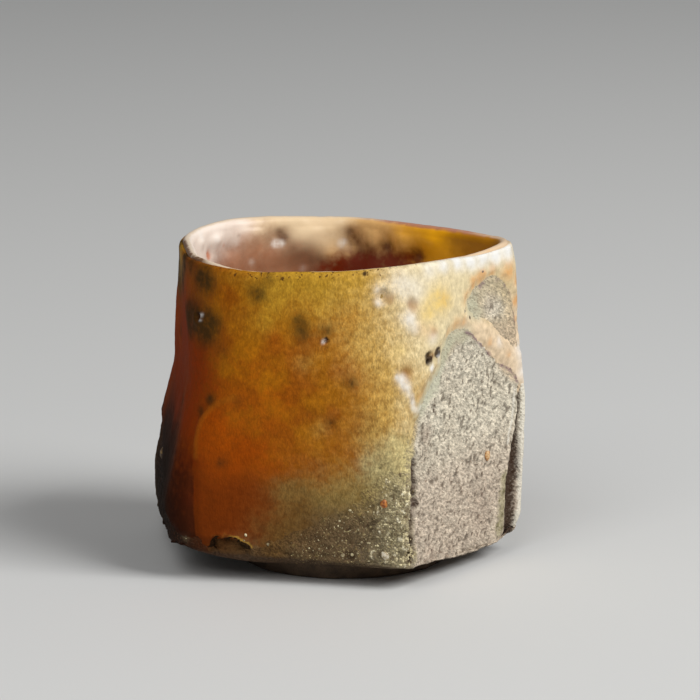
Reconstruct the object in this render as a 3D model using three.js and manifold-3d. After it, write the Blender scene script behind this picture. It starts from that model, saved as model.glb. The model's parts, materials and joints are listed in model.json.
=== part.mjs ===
// Wood-fired stoneware sake cup: a thick five-sided cup, shaved flat on its sides with a wire, with a
// soft lip, an attached foot ring, a runny glaze coat outside, a poured glaze liner inside and a few
// coarse feldspar stones standing out of the clay.
// Millimetres, +Z up. The cup stands on z = 0 with its broad front facet towards -Y.

import * as THREE from "three";
import { mergeVertices } from "three/addons/utils/BufferGeometryUtils.js";
import Module from "manifold-3d";

const wasm = await Module();
wasm.setup();

// Heights, each counted up from the one before it, starting at the table.
const FOOT_HEIGHT = 3;
const BEVEL_RISE = 1.5;
const BELLY_RISE = 12;
const WAIST_RISE = 9.5;
const SHOULDER_RISE = 9;
const LIP_RISE = 20.7;

// Thicknesses of the clay.
const LIP_THICKNESS = 1.4;
const WALL_THICKNESS = 4.6;
const FLOOR_THICKNESS = 6;

// Radius of the hollow's corners at the floor, and of the turn from the floor to the wall.
const FLOOR_CORNER = 9;
const FLOOR_ROUND = 9;

// Foot ring: outside and inside radius at the table, how far its sides lean in, and its rounded edge.
const FOOT_RADIUS = 19;
const FOOT_BORE = 14;
const FOOT_LEAN = 0.8;
const FOOT_ROUND = 0.5;
const SEAT_LEDGE = 1.2;

// Glaze: its thickness, and the clearance that keeps each coat apart from what carries it.
const GLAZE_THICKNESS = 0.6;
const CLEARANCE = 0.3;

// The slow rise and fall of the hand-shaped lip: bearing in degrees, and the rise there.
const LIP_LINE = [
  [-150, -0.6],
  [-122, -1.1],
  [-100, -0.5],
  [-78, -0.2],
  [-52, 0],
  [-36, -0.3],
  [-18, -0.7],
  [2, -0.3],
  [30, 0.4],
  [60, 0.5],
  [90, 0.4],
  [120, 0.6],
  [138, 0.6],
  [160, 0.1],
  [180, -0.3],
];

// The wall's lower edge rises at the front left corner, where the wire cut under it, and sags under the
// right side: how far, the bearing of the middle, and how far it spreads to each side of that.
const EDGE_LIFT = { by: 1.6, bearing: 216, spread: 90 };
const EDGE_SAG = { by: 1.7, bearing: -22, spread: 52 };

// The five sides, anticlockwise from above. bearing is the way a side faces, in degrees from +X. edge,
// belly, waist, shoulder and lip are its distances from the cup's axis at those heights, and edge_corner
// and rim_corner are the radii of the corner after it, at the lower edge and at the lip. A wire shaved the
// side flat: shave is the depth at the belly, run_out is how far above the belly the flat ends, and ridge
// is the clay left standing beside the corners, below zero where the wire ran out past them.
const SIDES = [
  {
    bearing: -101,
    edge: 24.8,
    belly: 26.0,
    waist: 26.3,
    shoulder: 26.3,
    lip: 25.7,
    edge_corner: 2.5,
    rim_corner: 24,
    shave: 0.9,
    run_out: 20,
    ridge: -9,
  },
  {
    bearing: -35,
    edge: 25.0,
    belly: 25.8,
    waist: 25.4,
    shoulder: 24.8,
    lip: 23.1,
    edge_corner: 2.5,
    rim_corner: 5,
    shave: 1.4,
    run_out: 26,
    ridge: 1.2,
  },
  {
    bearing: 52,
    edge: 21.4,
    belly: 22.2,
    waist: 22.3,
    shoulder: 22.2,
    lip: 21.9,
    edge_corner: 3,
    rim_corner: 12,
    shave: 0.8,
    run_out: 22,
    ridge: -9,
  },
  {
    bearing: 100,
    edge: 25.4,
    belly: 27.0,
    waist: 27.4,
    shoulder: 27.4,
    lip: 26.4,
    edge_corner: 3,
    rim_corner: 20,
    shave: 0.9,
    run_out: 24,
    ridge: -9,
  },
  {
    bearing: 187,
    edge: 31.9,
    belly: 32.0,
    waist: 29.8,
    shoulder: 27.6,
    lip: 28.0,
    edge_corner: 6,
    rim_corner: 20,
    shave: 0.6,
    run_out: 14,
    ridge: -9,
  },
];

// The lower edge of the outside glaze: bearing in degrees, and how far it has run down from the lip.
const GLAZE_RUN = [
  [-141, 47],
  [-123, 49],
  [-107, 44],
  [-90, 41],
  [-79, 35],
  [-69, 30],
  [-65, 25.5],
  [-58, 21.6],
  [-54.7, 20],
  [-50.3, 18.1],
  [-48, 15.2],
  [-44, 13.6],
  [-40, 12.5],
  [-34, 12.3],
  [-26.5, 13],
  [-19, 15.8],
  [-12, 17.9],
  [-5, 20.4],
  [1, 22.8],
  [5, 26],
  [14, 33],
  [48, 38],
  [78, 33],
  [110, 39],
  [146, 34],
  [172, 38],
  [198, 42],
];

// The bare window in the glaze near the right corner: its side, and its outline on that side, measured
// along the side and down from the lip.
const WINDOW = {
  side: 1,
  outline: [
    [3.9, 8.1],
    [5.2, 6.2],
    [8.8, 5.2],
    [13.1, 5],
    [16.5, 7],
    [18.5, 10.3],
    [18.9, 14],
    [18.6, 17.5],
    [16, 17.3],
    [12.5, 14.6],
    [9.5, 12.3],
    [5.9, 11.2],
    [3.8, 9.6],
  ],
};

// The chip in the lower edge of the front side: its middle along the side, and its size.
const CHIP = { side: 0, along: -15.6, wide: 7, tall: 5, deep: 1.8 };

// Feldspar stones: the side that each stands in, its place along that side and above the wall's lower
// edge, its radius, and how much taller it is than wide.
const STONES = {
  stone_in_right_side: { side: 1, along: 9, above_edge: 15, radius: 0.6, tall: 1.5 },
  stone_in_left_side: { side: 4, along: -8, above_edge: 13, radius: 1.0, tall: 1.1 },
  stone_at_lower_edge: { side: 0, along: 12, above_edge: 2, radius: 0.8, tall: 0.9 },
  stone_in_front_side: { side: 0, along: 11.9, above_edge: 11.2, radius: 0.6, tall: 1.2 },
  stone_in_back_side: { side: 3, along: 5, above_edge: 8, radius: 1.0, tall: 1.2 },
};

// Fineness of the facets.
const CORNER_STEPS = 7;
const SIDE_STEPS = 5;
const WALL_STEPS = 11;
const ROUND_STEPS = 4;
const TURN_STEPS = 48;
const FOOT_CURVE_STEPS = 3;
const GLAZE_LINE_STEPS = 160;
const CUTTER_RINGS = 6;
const WINDOW_STEPS = 48;
const CHIP_STEPS = 14;
const STONE_DETAIL = 1;

// Levels and radii that follow from the driving dimensions.
const EDGE_LEVEL = FOOT_HEIGHT + BEVEL_RISE;
const BELLY_LEVEL = EDGE_LEVEL + BELLY_RISE;
const WAIST_LEVEL = BELLY_LEVEL + WAIST_RISE;
const SHOULDER_LEVEL = WAIST_LEVEL + SHOULDER_RISE;
const LIP_LEVEL = SHOULDER_LEVEL + LIP_RISE;
const LIP_RADIUS = LIP_THICKNESS / 2;
const LIP_BASE = LIP_LEVEL - LIP_RADIUS;
const FLOOR_LEVEL = FOOT_HEIGHT + FLOOR_THICKNESS;
const PROFILE_LEVELS = [EDGE_LEVEL, BELLY_LEVEL, WAIST_LEVEL, SHOULDER_LEVEL, LIP_BASE];

// A length well past the cup, for the tools that cut it.
const BEYOND = 3 * LIP_LEVEL;

const lerp = THREE.MathUtils.lerp;
const radians = THREE.MathUtils.degToRad;
const degrees = THREE.MathUtils.radToDeg;
const sides = SIDES.map((side) => ({
  ...side,
  angle: radians(side.bearing),
  profile: new THREE.CubicInterpolant(
    PROFILE_LEVELS,
    [side.edge, side.belly, side.waist, side.shoulder, side.lip],
    1,
  ),
}));

// The lip's line, carried on past both ends so that it closes.
const [lipFirst, lipLast] = [LIP_LINE[0], LIP_LINE.at(-1)];
const lipRows = [[lipLast[0] - 360, lipLast[1]], ...LIP_LINE, [lipFirst[0] + 360, lipFirst[1]]];
const lipLine = new THREE.CubicInterpolant(
  lipRows.map(([bearing]) => bearing),
  lipRows.map(([, rise]) => rise),
  1,
);

// How far the uncut side stands from the axis at a level.
function reachAt(side, level) {
  return side.profile.evaluate(level)[0];
}

// 0 at the wall's lower edge and 1 at the lip.
function climb(level) {
  return THREE.MathUtils.clamp((level - EDGE_LEVEL) / (LIP_LEVEL - EDGE_LEVEL), 0, 1);
}

// The next side round the cup, and the angle turned to it.
function neighbour(index) {
  const next = sides[(index + 1) % sides.length];
  const turn = next.angle - sides[index].angle;
  return { next, turn: turn > 0 ? turn : turn + 2 * Math.PI };
}

// Where two sides meet: the distance along the first from its middle to the corner.
function cornerAlong(reach, nextReach, turn) {
  return (nextReach - reach * Math.cos(turn)) / Math.sin(turn);
}

// One ring of the plan: straight sides at the given reaches, joined by arcs of the corner radii.
function outline(reaches, corners, level) {
  const arcs = sides.map((side, index) => {
    const { turn } = neighbour(index);
    const corner = corners[index];
    const reach = reaches[index] - corner;
    const along = cornerAlong(reach, reaches[(index + 1) % sides.length] - corner, turn);
    const centre = new THREE.Vector2(reach, along).rotateAround(new THREE.Vector2(), side.angle);
    return Array.from({ length: CORNER_STEPS + 1 }, (_, step) => {
      const angle = side.angle + (turn * step) / CORNER_STEPS;
      return new THREE.Vector3(
        centre.x + corner * Math.cos(angle),
        centre.y + corner * Math.sin(angle),
        level,
      );
    });
  });
  return arcs.flatMap((arc, index) => {
    const from = arc[CORNER_STEPS];
    const to = arcs[(index + 1) % arcs.length][0];
    const straight = Array.from({ length: SIDE_STEPS - 1 }, (_, step) =>
      from.clone().lerp(to, (step + 1) / SIDE_STEPS),
    );
    return [...arc, ...straight];
  });
}

// A soft swelling round a bearing: its full height in the middle, and nothing past its spread.
function swelling({ by, bearing, spread }, at) {
  const off = THREE.MathUtils.euclideanModulo(at - bearing + 180, 360) - 180;
  return by * Math.cos((Math.min(Math.abs(off) / spread, 1) * Math.PI) / 2) ** 2;
}

// The rise and fall of the lip, fading out down the wall, and of the wall's lower edge, fading out up the
// wall and down to the flat seat.
function settle(point) {
  const bearing = degrees(Math.atan2(point.y, point.x));
  const edge = swelling(EDGE_LIFT, bearing) - swelling(EDGE_SAG, bearing);
  const high = climb(point.z);
  const low = THREE.MathUtils.clamp((point.z - FOOT_HEIGHT) / BEVEL_RISE, 0, 1) * (1 - high);
  return point.setZ(point.z + lipLine.evaluate(bearing)[0] * high * high + edge * low * low);
}

// Skins a stack of rings from the bottom up, and closes both ends with a fan.
function loft(rings) {
  const count = rings[0].length;
  const points = rings.flat();
  const index = [];
  for (let ring = 0; ring + 1 < rings.length; ring++) {
    const low = ring * count;
    const high = low + count;
    for (let i = 0; i < count; i++) {
      const j = (i + 1) % count;
      index.push(low + i, low + j, high + j, low + i, high + j, high + i);
    }
  }
  const middle = (ring) => ring.reduce((sum, p) => sum.add(p), new THREE.Vector3()).divideScalar(count);
  const last = points.length - count;
  const bottom = points.push(middle(rings[0])) - 1;
  const top = points.push(middle(rings.at(-1))) - 1;
  for (let i = 0; i < count; i++) {
    const j = (i + 1) % count;
    index.push(bottom, j, i, top, last + i, last + j);
  }
  return new THREE.BufferGeometry().setFromPoints(points).setIndex(index);
}

// A geometry as a solid that can be joined and cut, and back again.
function solid(geometry) {
  const bare = geometry.clone();
  bare.deleteAttribute("normal");
  bare.deleteAttribute("uv");
  const merged = mergeVertices(bare);
  return new wasm.Manifold(
    new wasm.Mesh({
      numProp: 3,
      vertProperties: new Float32Array(merged.attributes.position.array),
      triVerts: new Uint32Array(merged.index.array),
    }),
  );
}

function geometryOf(made) {
  const { vertProperties, triVerts } = made.getMesh();
  const geometry = new THREE.BufferGeometry();
  geometry.setAttribute("position", new THREE.BufferAttribute(vertProperties, 3));
  geometry.setIndex(new THREE.BufferAttribute(triVerts, 1));
  geometry.computeVertexNormals();
  return geometry;
}

// Evenly spaced values from one number to another, both ends included.
function steps(from, to, count) {
  return Array.from({ length: count + 1 }, (_, step) => lerp(from, to, step / count));
}

// Where the wire's flat lies at a level: it bites deepest at the belly and runs out above it.
function shaveAt(side, level) {
  const deepest = reachAt(side, BELLY_LEVEL) - side.shave;
  const runOut = reachAt(side, BELLY_LEVEL + side.run_out);
  return lerp(deepest, runOut, (level - BELLY_LEVEL) / side.run_out);
}

// The clay that the wire takes off one side, up to where the flat ends, moved out by a distance for the
// coats over it.
function shaving(side, index, outward) {
  const before = (index + sides.length - 1) % sides.length;
  const reach = reachAt(side, BELLY_LEVEL);
  const after = neighbour(index);
  const start = -cornerAlong(reach, reachAt(sides[before], BELLY_LEVEL), neighbour(before).turn) + side.ridge;
  const end = cornerAlong(reach, reachAt(after.next, BELLY_LEVEL), after.turn) - side.ridge;
  const lean = Math.atan2(shaveAt(side, LIP_LEVEL) - shaveAt(side, BELLY_LEVEL), LIP_LEVEL - BELLY_LEVEL);
  const block = new THREE.BoxGeometry(BEYOND, end - start, BEYOND);
  block.translate(BEYOND / 2 + outward, (start + end) / 2, side.run_out + outward - BEYOND / 2);
  block.rotateY(lean);
  block.translate(shaveAt(side, BELLY_LEVEL), 0, BELLY_LEVEL);
  return solid(block.rotateZ(side.angle));
}

// A ring of the lip, set in from its outside.
function lipRing(inset, level) {
  return outline(
    sides.map((side) => side.lip - inset),
    sides.map((side) => side.rim_corner - inset),
    level,
  );
}

// The whole outside of the cup as one solid, grown by a distance: the seat of the foot, the bevel, the
// wall and the outer half of the lip, with its sides shaved.
function outside(grow) {
  const seat = outline(
    sides.map(() => FOOT_RADIUS + SEAT_LEDGE + grow),
    sides.map((side) => side.edge_corner + grow),
    FOOT_HEIGHT,
  );
  const wall = steps(EDGE_LEVEL, LIP_BASE, WALL_STEPS).map((level) =>
    outline(
      sides.map((side) => reachAt(side, level) + grow),
      sides.map((side) => lerp(side.edge_corner, side.rim_corner, climb(level)) + grow),
      level,
    ),
  );
  const lip = steps(0, Math.PI / 2, ROUND_STEPS).slice(1).map((angle) => {
    const inset = LIP_RADIUS - (LIP_RADIUS + grow) * Math.cos(angle);
    return lipRing(inset, LIP_BASE + (LIP_RADIUS + grow) * Math.sin(angle));
  });
  const uncut = solid(loft([seat, ...wall, ...lip].map((points) => points.map(settle))));
  return sides.reduce((cup, side, index) => cup.subtract(shaving(side, index, grow)), uncut);
}

// The clay wall's thickness at a level.
function wallAt(level) {
  return lerp(WALL_THICKNESS, LIP_THICKNESS, climb(level));
}

// The hollow as one solid, shrunk by a distance: floor, rounded turn, wall, the inner half of the lip and
// a column that rises out of the mouth. The column's wall stands in from the crest of the lip.
function hollow(shrink, crestInset, columnRise) {
  const turnLevel = FLOOR_LEVEL + FLOOR_ROUND;
  const corner = (side, level) => lerp(FLOOR_CORNER, side.rim_corner - LIP_THICKNESS, climb(level));
  const floor = steps(0, Math.PI / 2, ROUND_STEPS).map((angle) => {
    const inset = FLOOR_ROUND - (FLOOR_ROUND - shrink) * Math.sin(angle);
    const level = turnLevel - (FLOOR_ROUND - shrink) * Math.cos(angle);
    return outline(
      sides.map((side) => reachAt(side, turnLevel) - wallAt(turnLevel) - inset),
      sides.map((side) => Math.max(corner(side, turnLevel) - inset, LIP_RADIUS)),
      level,
    );
  });
  const wall = steps(turnLevel, LIP_BASE, WALL_STEPS - 1).slice(1).map((level) =>
    outline(
      sides.map((side) => reachAt(side, level) - wallAt(level) - shrink),
      sides.map((side) => corner(side, level) - shrink),
      level,
    ),
  );
  const lip = steps(0, Math.PI / 2, ROUND_STEPS).slice(1).map((angle) => {
    const inset = LIP_RADIUS + (LIP_RADIUS + shrink) * Math.cos(angle);
    return lipRing(inset, LIP_BASE + (LIP_RADIUS + shrink) * Math.sin(angle));
  });
  const crest = lipRing(LIP_RADIUS + crestInset, LIP_LEVEL + shrink);
  const top = crest.map((point) => point.clone().setZ(point.z + columnRise));
  const mouth = [...lip.slice(0, -1), crest, top];
  return solid(loft([...floor, ...wall, ...mouth].map((points) => points.map(settle))));
}

// A point on the shaved face of a side, and the frame there: x out of the clay, y along the side.
function onSide(side, along, level) {
  const reach = Math.min(reachAt(side, level), shaveAt(side, level));
  return new THREE.Matrix4()
    .makeRotationZ(side.angle)
    .multiply(new THREE.Matrix4().makeTranslation(reach, along, level));
}

// A stone, grown by a distance for the socket that it sits in.
function stone({ side, along, above_edge, radius, tall }, grow) {
  const lump = new THREE.IcosahedronGeometry(radius + grow, STONE_DETAIL);
  lump.scale(1, 1, (radius * tall + grow) / (radius + grow));
  return lump.applyMatrix4(onSide(sides[side], along, EDGE_LEVEL + above_edge));
}

// Everything below the glaze line, out past the wall on both sides.
function belowGlazeLine() {
  const widest = 2 * Math.max(...sides.map((side) => side.belly));
  const narrowest = Math.min(...sides.map((side) => side.lip)) / 2;
  const line = new THREE.CatmullRomCurve3(
    GLAZE_RUN.map(([bearing, run]) => {
      const level = Math.max(LIP_LEVEL - run, EDGE_LEVEL + GLAZE_THICKNESS);
      return new THREE.Vector3().setFromCylindricalCoords(widest, radians(bearing), level);
    }),
    true,
  );
  const around = line.getPoints(GLAZE_LINE_STEPS).slice(0, -1);
  const ring = (radius, drop) =>
    around.map((point) => {
      const flat = new THREE.Vector2(point.z, point.x).setLength(radius);
      return new THREE.Vector3(flat.x, flat.y, point.y - drop);
    });
  const top = steps(widest, narrowest, CUTTER_RINGS).map((radius) => ring(radius, 0));
  return solid(loft([ring(widest, BEYOND), ...top]));
}

// The bare window: a plug of its outline, pushed straight through the coat.
function windowPlug() {
  const side = sides[WINDOW.side];
  const corners = WINDOW.outline.map(([along, below]) => new THREE.Vector3(along, -below, 0));
  const rim = new THREE.CatmullRomCurve3(corners, true).getPoints(WINDOW_STEPS).slice(0, -1);
  const plug = new THREE.ExtrudeGeometry(new THREE.Shape(rim), { depth: BEYOND, bevelEnabled: false });
  plug.rotateZ(Math.PI / 2).rotateY(Math.PI / 2);
  plug.applyMatrix4(onSide(side, 0, LIP_LEVEL));
  return solid(plug.applyMatrix4(new THREE.Matrix4().makeTranslation(
    -WALL_THICKNESS * Math.cos(side.angle),
    -WALL_THICKNESS * Math.sin(side.angle),
    0,
  )));
}

// The chip: a shell-shaped scoop out of the lower edge.
function chipScoop() {
  const scoop = new THREE.SphereGeometry(1, CHIP_STEPS, CHIP_STEPS);
  scoop.rotateX(Math.PI / 2);
  scoop.scale(CHIP.deep, CHIP.wide / 2, CHIP.tall);
  return solid(scoop.applyMatrix4(onSide(sides[CHIP.side], CHIP.along, EDGE_LEVEL)));
}

function clayBody() {
  const sockets = Object.values(STONES).map((place) => solid(stone(place, CLEARANCE)));
  const cup = outside(0).subtract(hollow(0, 0, BEYOND)).subtract(chipScoop());
  return geometryOf(sockets.reduce((made, socket) => made.subtract(socket), cup));
}

// The coat over the outside and the outer half of the lip.
function outerGlaze() {
  const coat = outside(CLEARANCE + GLAZE_THICKNESS).subtract(outside(CLEARANCE));
  const mouth = hollow(0, -CLEARANCE / 2, BEYOND);
  const sockets = Object.values(STONES).map((place) => solid(stone(place, CLEARANCE)));
  const trimmed = coat.subtract(mouth).subtract(belowGlazeLine()).subtract(windowPlug());
  return geometryOf(sockets.reduce((made, socket) => made.subtract(socket), trimmed));
}

// The coat over the floor, the inside of the wall and the inner half of the lip.
function linerGlaze() {
  const covered = hollow(CLEARANCE, CLEARANCE / 2, GLAZE_THICKNESS * 2);
  const open = hollow(CLEARANCE + GLAZE_THICKNESS, -LIP_RADIUS / 2, BEYOND);
  return geometryOf(covered.subtract(open));
}

// The foot ring, turned: its top face lies flat against the underside of the cup.
function footRing() {
  const profile = new THREE.Path()
    .moveTo(FOOT_BORE + FOOT_ROUND, 0)
    .lineTo(FOOT_RADIUS - FOOT_LEAN - FOOT_ROUND, 0)
    .quadraticCurveTo(FOOT_RADIUS - FOOT_LEAN, 0, FOOT_RADIUS - FOOT_LEAN, FOOT_ROUND)
    .lineTo(FOOT_RADIUS, FOOT_HEIGHT)
    .lineTo(FOOT_BORE - FOOT_LEAN, FOOT_HEIGHT)
    .lineTo(FOOT_BORE, FOOT_ROUND)
    .quadraticCurveTo(FOOT_BORE, 0, FOOT_BORE + FOOT_ROUND, 0);
  return new THREE.LatheGeometry(profile.getPoints(FOOT_CURVE_STEPS), TURN_STEPS).rotateX(Math.PI / 2);
}

const bareClay = new THREE.MeshStandardMaterial({ color: "#8c8173", roughness: 0.9, metalness: 0 });
const footClay = new THREE.MeshStandardMaterial({ color: "#6b5a4a", roughness: 0.9, metalness: 0 });
const amberGlaze = new THREE.MeshStandardMaterial({ color: "#b5761f", roughness: 0.4, metalness: 0 });
const roseGlaze = new THREE.MeshStandardMaterial({ color: "#c59a82", roughness: 0.3, metalness: 0 });
const feldspar = new THREE.MeshStandardMaterial({ color: "#d9b88c", roughness: 0.5, metalness: 0 });

const cup = new THREE.Group();

function place(name, geometry, material) {
  const mesh = new THREE.Mesh(geometry, material);
  mesh.name = name;
  cup.add(mesh);
}

place("stoneware_body", clayBody(), bareClay);
place("foot_ring", footRing(), footClay);
place("outer_glaze", outerGlaze(), amberGlaze);
place("liner_glaze", linerGlaze(), roseGlaze);
Object.entries(STONES).forEach(([name, where]) => place(name, stone(where, 0), feldspar));

// The origin is under the middle of the cup's outline, on the table.
const bounds = new THREE.Box3().setFromObject(cup);
cup.position.set(-(bounds.min.x + bounds.max.x) / 2, -(bounds.min.y + bounds.max.y) / 2, 0);

export default cup;
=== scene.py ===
# %% [markdown]
# # A wood-fired sake cup
#
# The cup is a thick lump of stoneware, shaved to five sides with a wire and fired in a wood kiln. Ash flew
# through the kiln and melted on it into an amber glaze, which ran, pitted and left part of the clay bare.
# Every step below makes one piece or one finish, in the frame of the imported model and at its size.

# %% Load the frame
import json
import math

import bmesh
import bpy
import numpy as np
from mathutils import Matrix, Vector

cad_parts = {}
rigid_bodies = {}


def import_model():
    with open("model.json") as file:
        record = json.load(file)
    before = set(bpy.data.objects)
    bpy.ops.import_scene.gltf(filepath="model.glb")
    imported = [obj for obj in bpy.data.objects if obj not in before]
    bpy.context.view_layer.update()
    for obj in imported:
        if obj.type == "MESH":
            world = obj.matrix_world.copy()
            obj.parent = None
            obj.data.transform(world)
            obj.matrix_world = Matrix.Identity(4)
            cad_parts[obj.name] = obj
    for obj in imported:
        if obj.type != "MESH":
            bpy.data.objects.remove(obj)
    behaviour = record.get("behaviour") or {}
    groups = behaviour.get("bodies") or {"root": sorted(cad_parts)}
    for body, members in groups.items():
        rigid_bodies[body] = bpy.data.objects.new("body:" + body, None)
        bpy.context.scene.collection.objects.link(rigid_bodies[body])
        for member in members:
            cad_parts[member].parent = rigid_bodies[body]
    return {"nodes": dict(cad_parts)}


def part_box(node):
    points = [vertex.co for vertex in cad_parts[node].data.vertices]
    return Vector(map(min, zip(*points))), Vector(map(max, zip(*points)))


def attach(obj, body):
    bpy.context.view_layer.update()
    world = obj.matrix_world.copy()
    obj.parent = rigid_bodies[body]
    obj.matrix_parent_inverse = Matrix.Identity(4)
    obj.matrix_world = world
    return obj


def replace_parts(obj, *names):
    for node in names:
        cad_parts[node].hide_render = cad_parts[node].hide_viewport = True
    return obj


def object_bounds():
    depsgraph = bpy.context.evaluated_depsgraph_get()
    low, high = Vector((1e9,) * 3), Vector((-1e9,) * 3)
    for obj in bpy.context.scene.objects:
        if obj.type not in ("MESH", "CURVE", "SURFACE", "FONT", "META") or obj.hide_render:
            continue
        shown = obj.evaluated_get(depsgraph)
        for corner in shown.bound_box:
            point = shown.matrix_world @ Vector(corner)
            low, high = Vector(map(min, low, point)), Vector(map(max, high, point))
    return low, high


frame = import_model()
cad_box = [list(corner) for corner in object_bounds()]
MM = 0.001

foot_low, foot_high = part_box("foot_ring")
AXIS = np.array([(foot_low.x + foot_high.x) / 2, (foot_low.y + foot_high.y) / 2]) / MM
print("nodes", len(frame["nodes"]), "axis of the cup in mm", AXIS.round(3))

# %% [markdown]
# ## Camera
#
# The photograph was taken from some distance with a long lens, a little above the lip. The same view is set
# up first, because marks of the fire are later put on the cup where the photograph shows them.

# %% Camera
PHOTO_SIZE = 700
FOCAL_PX = 3976
SENSOR = 36
CAMERA_AIM = np.array([AXIS[0] + 1.05, AXIS[1] - 0.16, 37])
CAMERA_DISTANCE = 700
CAMERA_DROP = math.radians(11.5)

view_in = np.array([0, math.cos(CAMERA_DROP), -math.sin(CAMERA_DROP)])
view_up = np.array([0, math.sin(CAMERA_DROP), math.cos(CAMERA_DROP)])
eye = CAMERA_AIM - CAMERA_DISTANCE * view_in

camera = bpy.data.objects.new("camera", bpy.data.cameras.new("camera"))
camera.data.sensor_width = SENSOR
camera.data.lens = SENSOR * FOCAL_PX / PHOTO_SIZE
camera.location = eye * MM
camera.rotation_euler = (math.pi / 2 - CAMERA_DROP, 0, 0)
bpy.context.scene.collection.objects.link(camera)
bpy.context.scene.camera = camera


def in_photo(points):
    """Where points of the cup, in mm, fall in the photograph, in pixels from its upper left corner."""
    away = points - eye
    scale = FOCAL_PX / (away @ view_in)
    return PHOTO_SIZE / 2 + np.stack([away[..., 0] * scale, -(away @ view_up) * scale], axis=-1)


print("lens", round(camera.data.lens, 1), "mm")

# %% [markdown]
# ## The shaved wall
#
# The cup's plan is five straight sides joined by round corners, and each side has its own lean and swell. A
# wire then shaved every side flat around the belly. Boxes cut and bevelled by hand would not line up with the
# coats, so the wall is written as a formula, distance from the axis along a bearing, and clay, glaze and
# liner all lie on the same skin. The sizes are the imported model's.

# %% Heights and sides, in mm
EDGE_LEVEL = 4.5
BELLY_LEVEL = 16.5
WAIST_LEVEL = 26
SHOULDER_LEVEL = 35
LIP_LEVEL = 55.7
LIP_THICKNESS = 1.4
LIP_RADIUS = LIP_THICKNESS / 2
LIP_BASE = LIP_LEVEL - LIP_RADIUS
PROFILE_LEVELS = np.array([EDGE_LEVEL, BELLY_LEVEL, WAIST_LEVEL, SHOULDER_LEVEL, LIP_BASE])

# Each row or value below is for one side: front, right, back right, back left and left.
SIDES = 5
FRONT, RIGHT, BACK_LEFT = 0, 1, 3
BEARING = np.radians([-101, -35, 52, 100, 187])
# How far the side lies from the axis at each of the profile's levels
REACH = np.array(
    [
        [24.8, 26.0, 26.3, 26.3, 25.7],
        [25.0, 25.8, 25.4, 24.8, 23.1],
        [21.4, 22.2, 22.3, 22.2, 21.9],
        [25.4, 27.0, 27.4, 27.4, 26.4],
        [31.9, 32.0, 29.8, 27.6, 28.0],
    ]
)
# Radius of the corner after the side, at the lower edge and at the lip
EDGE_CORNER = [2.5, 2.5, 3, 3, 6]
RIM_CORNER = [24, 5, 12, 20, 20]
# How deep the wire shaved at the belly, and how far above the belly it ran out
SHAVE = [0.9, 1.4, 0.8, 0.9, 0.6]
RUN_OUT = [20, 26, 22, 24, 14]
# Width of the ridge left beside the corners, below zero where the wire ran past them
RIDGE = [-9, 1.2, -9, -9, -9]
print("belly to belly, front and back:", REACH[FRONT][1] + REACH[BACK_LEFT][1], "mm")


# %% Blends and curves
def blend(low, high, share):
    """A value between low and high, by a share from 0 to 1."""
    return low + (high - low) * share


def ease(value, start, full):
    """0 before start, 1 after full, and a smooth rise between."""
    share = np.clip((value - start) / (full - start), 0, 1)
    return share * share * (3 - 2 * share)


def through(knots, values, at):
    """A smooth curve through values at knots, with each slope taken from the neighbours."""
    slopes = np.empty_like(values, dtype=float)
    slopes[1:-1] = (values[2:] - values[:-2]) / (knots[2:] - knots[:-2])
    slopes[0] = 1.5 * (values[1] - values[0]) / (knots[1] - knots[0]) - slopes[1] / 2
    slopes[-1] = 1.5 * (values[-1] - values[-2]) / (knots[-1] - knots[-2]) - slopes[-2] / 2
    low = np.clip(np.searchsorted(knots, at) - 1, 0, len(knots) - 2)
    span = knots[low + 1] - knots[low]
    t = (at - knots[low]) / span
    lift = t * t * (3 - 2 * t)
    out = t * (1 - t) ** 2 * slopes[low] - t * t * (1 - t) * slopes[low + 1]
    return blend(values[low], values[low + 1], lift) + out * span


def climb(level):
    """0 at the wall's lower edge and 1 at the lip."""
    return np.clip((level - EDGE_LEVEL) / (LIP_LEVEL - EDGE_LEVEL), 0, 1)


def turned(angle):
    """An angle brought between 0 and a full turn."""
    return np.mod(angle, 2 * math.pi)


def round_curve(bearings, values, at):
    """A smooth closed curve round the cup, through values at bearings in degrees."""
    knots = np.radians(np.concatenate([np.subtract(bearings, 360), bearings, np.add(bearings, 360)]))
    return through(knots, np.tile(np.asarray(values, dtype=float), 3), at)


def swelling(bearing, by, middle, spread):
    """A soft swelling round a bearing: full in the middle, and nothing past its spread."""
    off = np.abs(turned(bearing - middle + math.pi) - math.pi)
    return by * np.cos(np.minimum(off / spread, 1) * math.pi / 2) ** 2


waist = through(PROFILE_LEVELS, REACH[FRONT], np.array(float(WAIST_LEVEL)))
print("the front lies", waist.round(2), "mm from the axis at the waist")


# %% A ring of the plan
LEAST_FACING = 0.05


def ring_radius(bearing, reaches, corners):
    """How far a ring of straight sides and round corners lies from the axis, along each bearing."""
    radius = np.full(bearing.shape, np.inf)
    for side in range(SIDES):
        facing = np.maximum(np.cos(bearing - BEARING[side]), LEAST_FACING)
        radius = np.minimum(radius, reaches[side] / facing)
    for side in range(SIDES):
        following = (side + 1) % SIDES
        corner = corners[side]
        turn = turned(BEARING[following] - BEARING[side])
        reach = reaches[side] - corner
        along = (reaches[following] - corner - reach * math.cos(turn)) / math.sin(turn)
        facing, sweep = math.cos(BEARING[side]), math.sin(BEARING[side])
        x = reach * facing - along * sweep
        y = reach * sweep + along * facing
        start = np.arctan2(y + corner * sweep, x + corner * facing)
        last = BEARING[following]
        stop = np.arctan2(y + corner * math.sin(last), x + corner * math.cos(last))
        towards = x * np.cos(bearing) + y * np.sin(bearing)
        arc = towards + np.sqrt(np.maximum(corner**2 - x**2 - y**2 + towards**2, 0))
        radius = np.where(turned(bearing - start) < turned(stop - start), arc, radius)
    return radius


print("belly in mm from the axis:", ring_radius(BEARING, REACH[:, 1], EDGE_CORNER).round(2))

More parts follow.
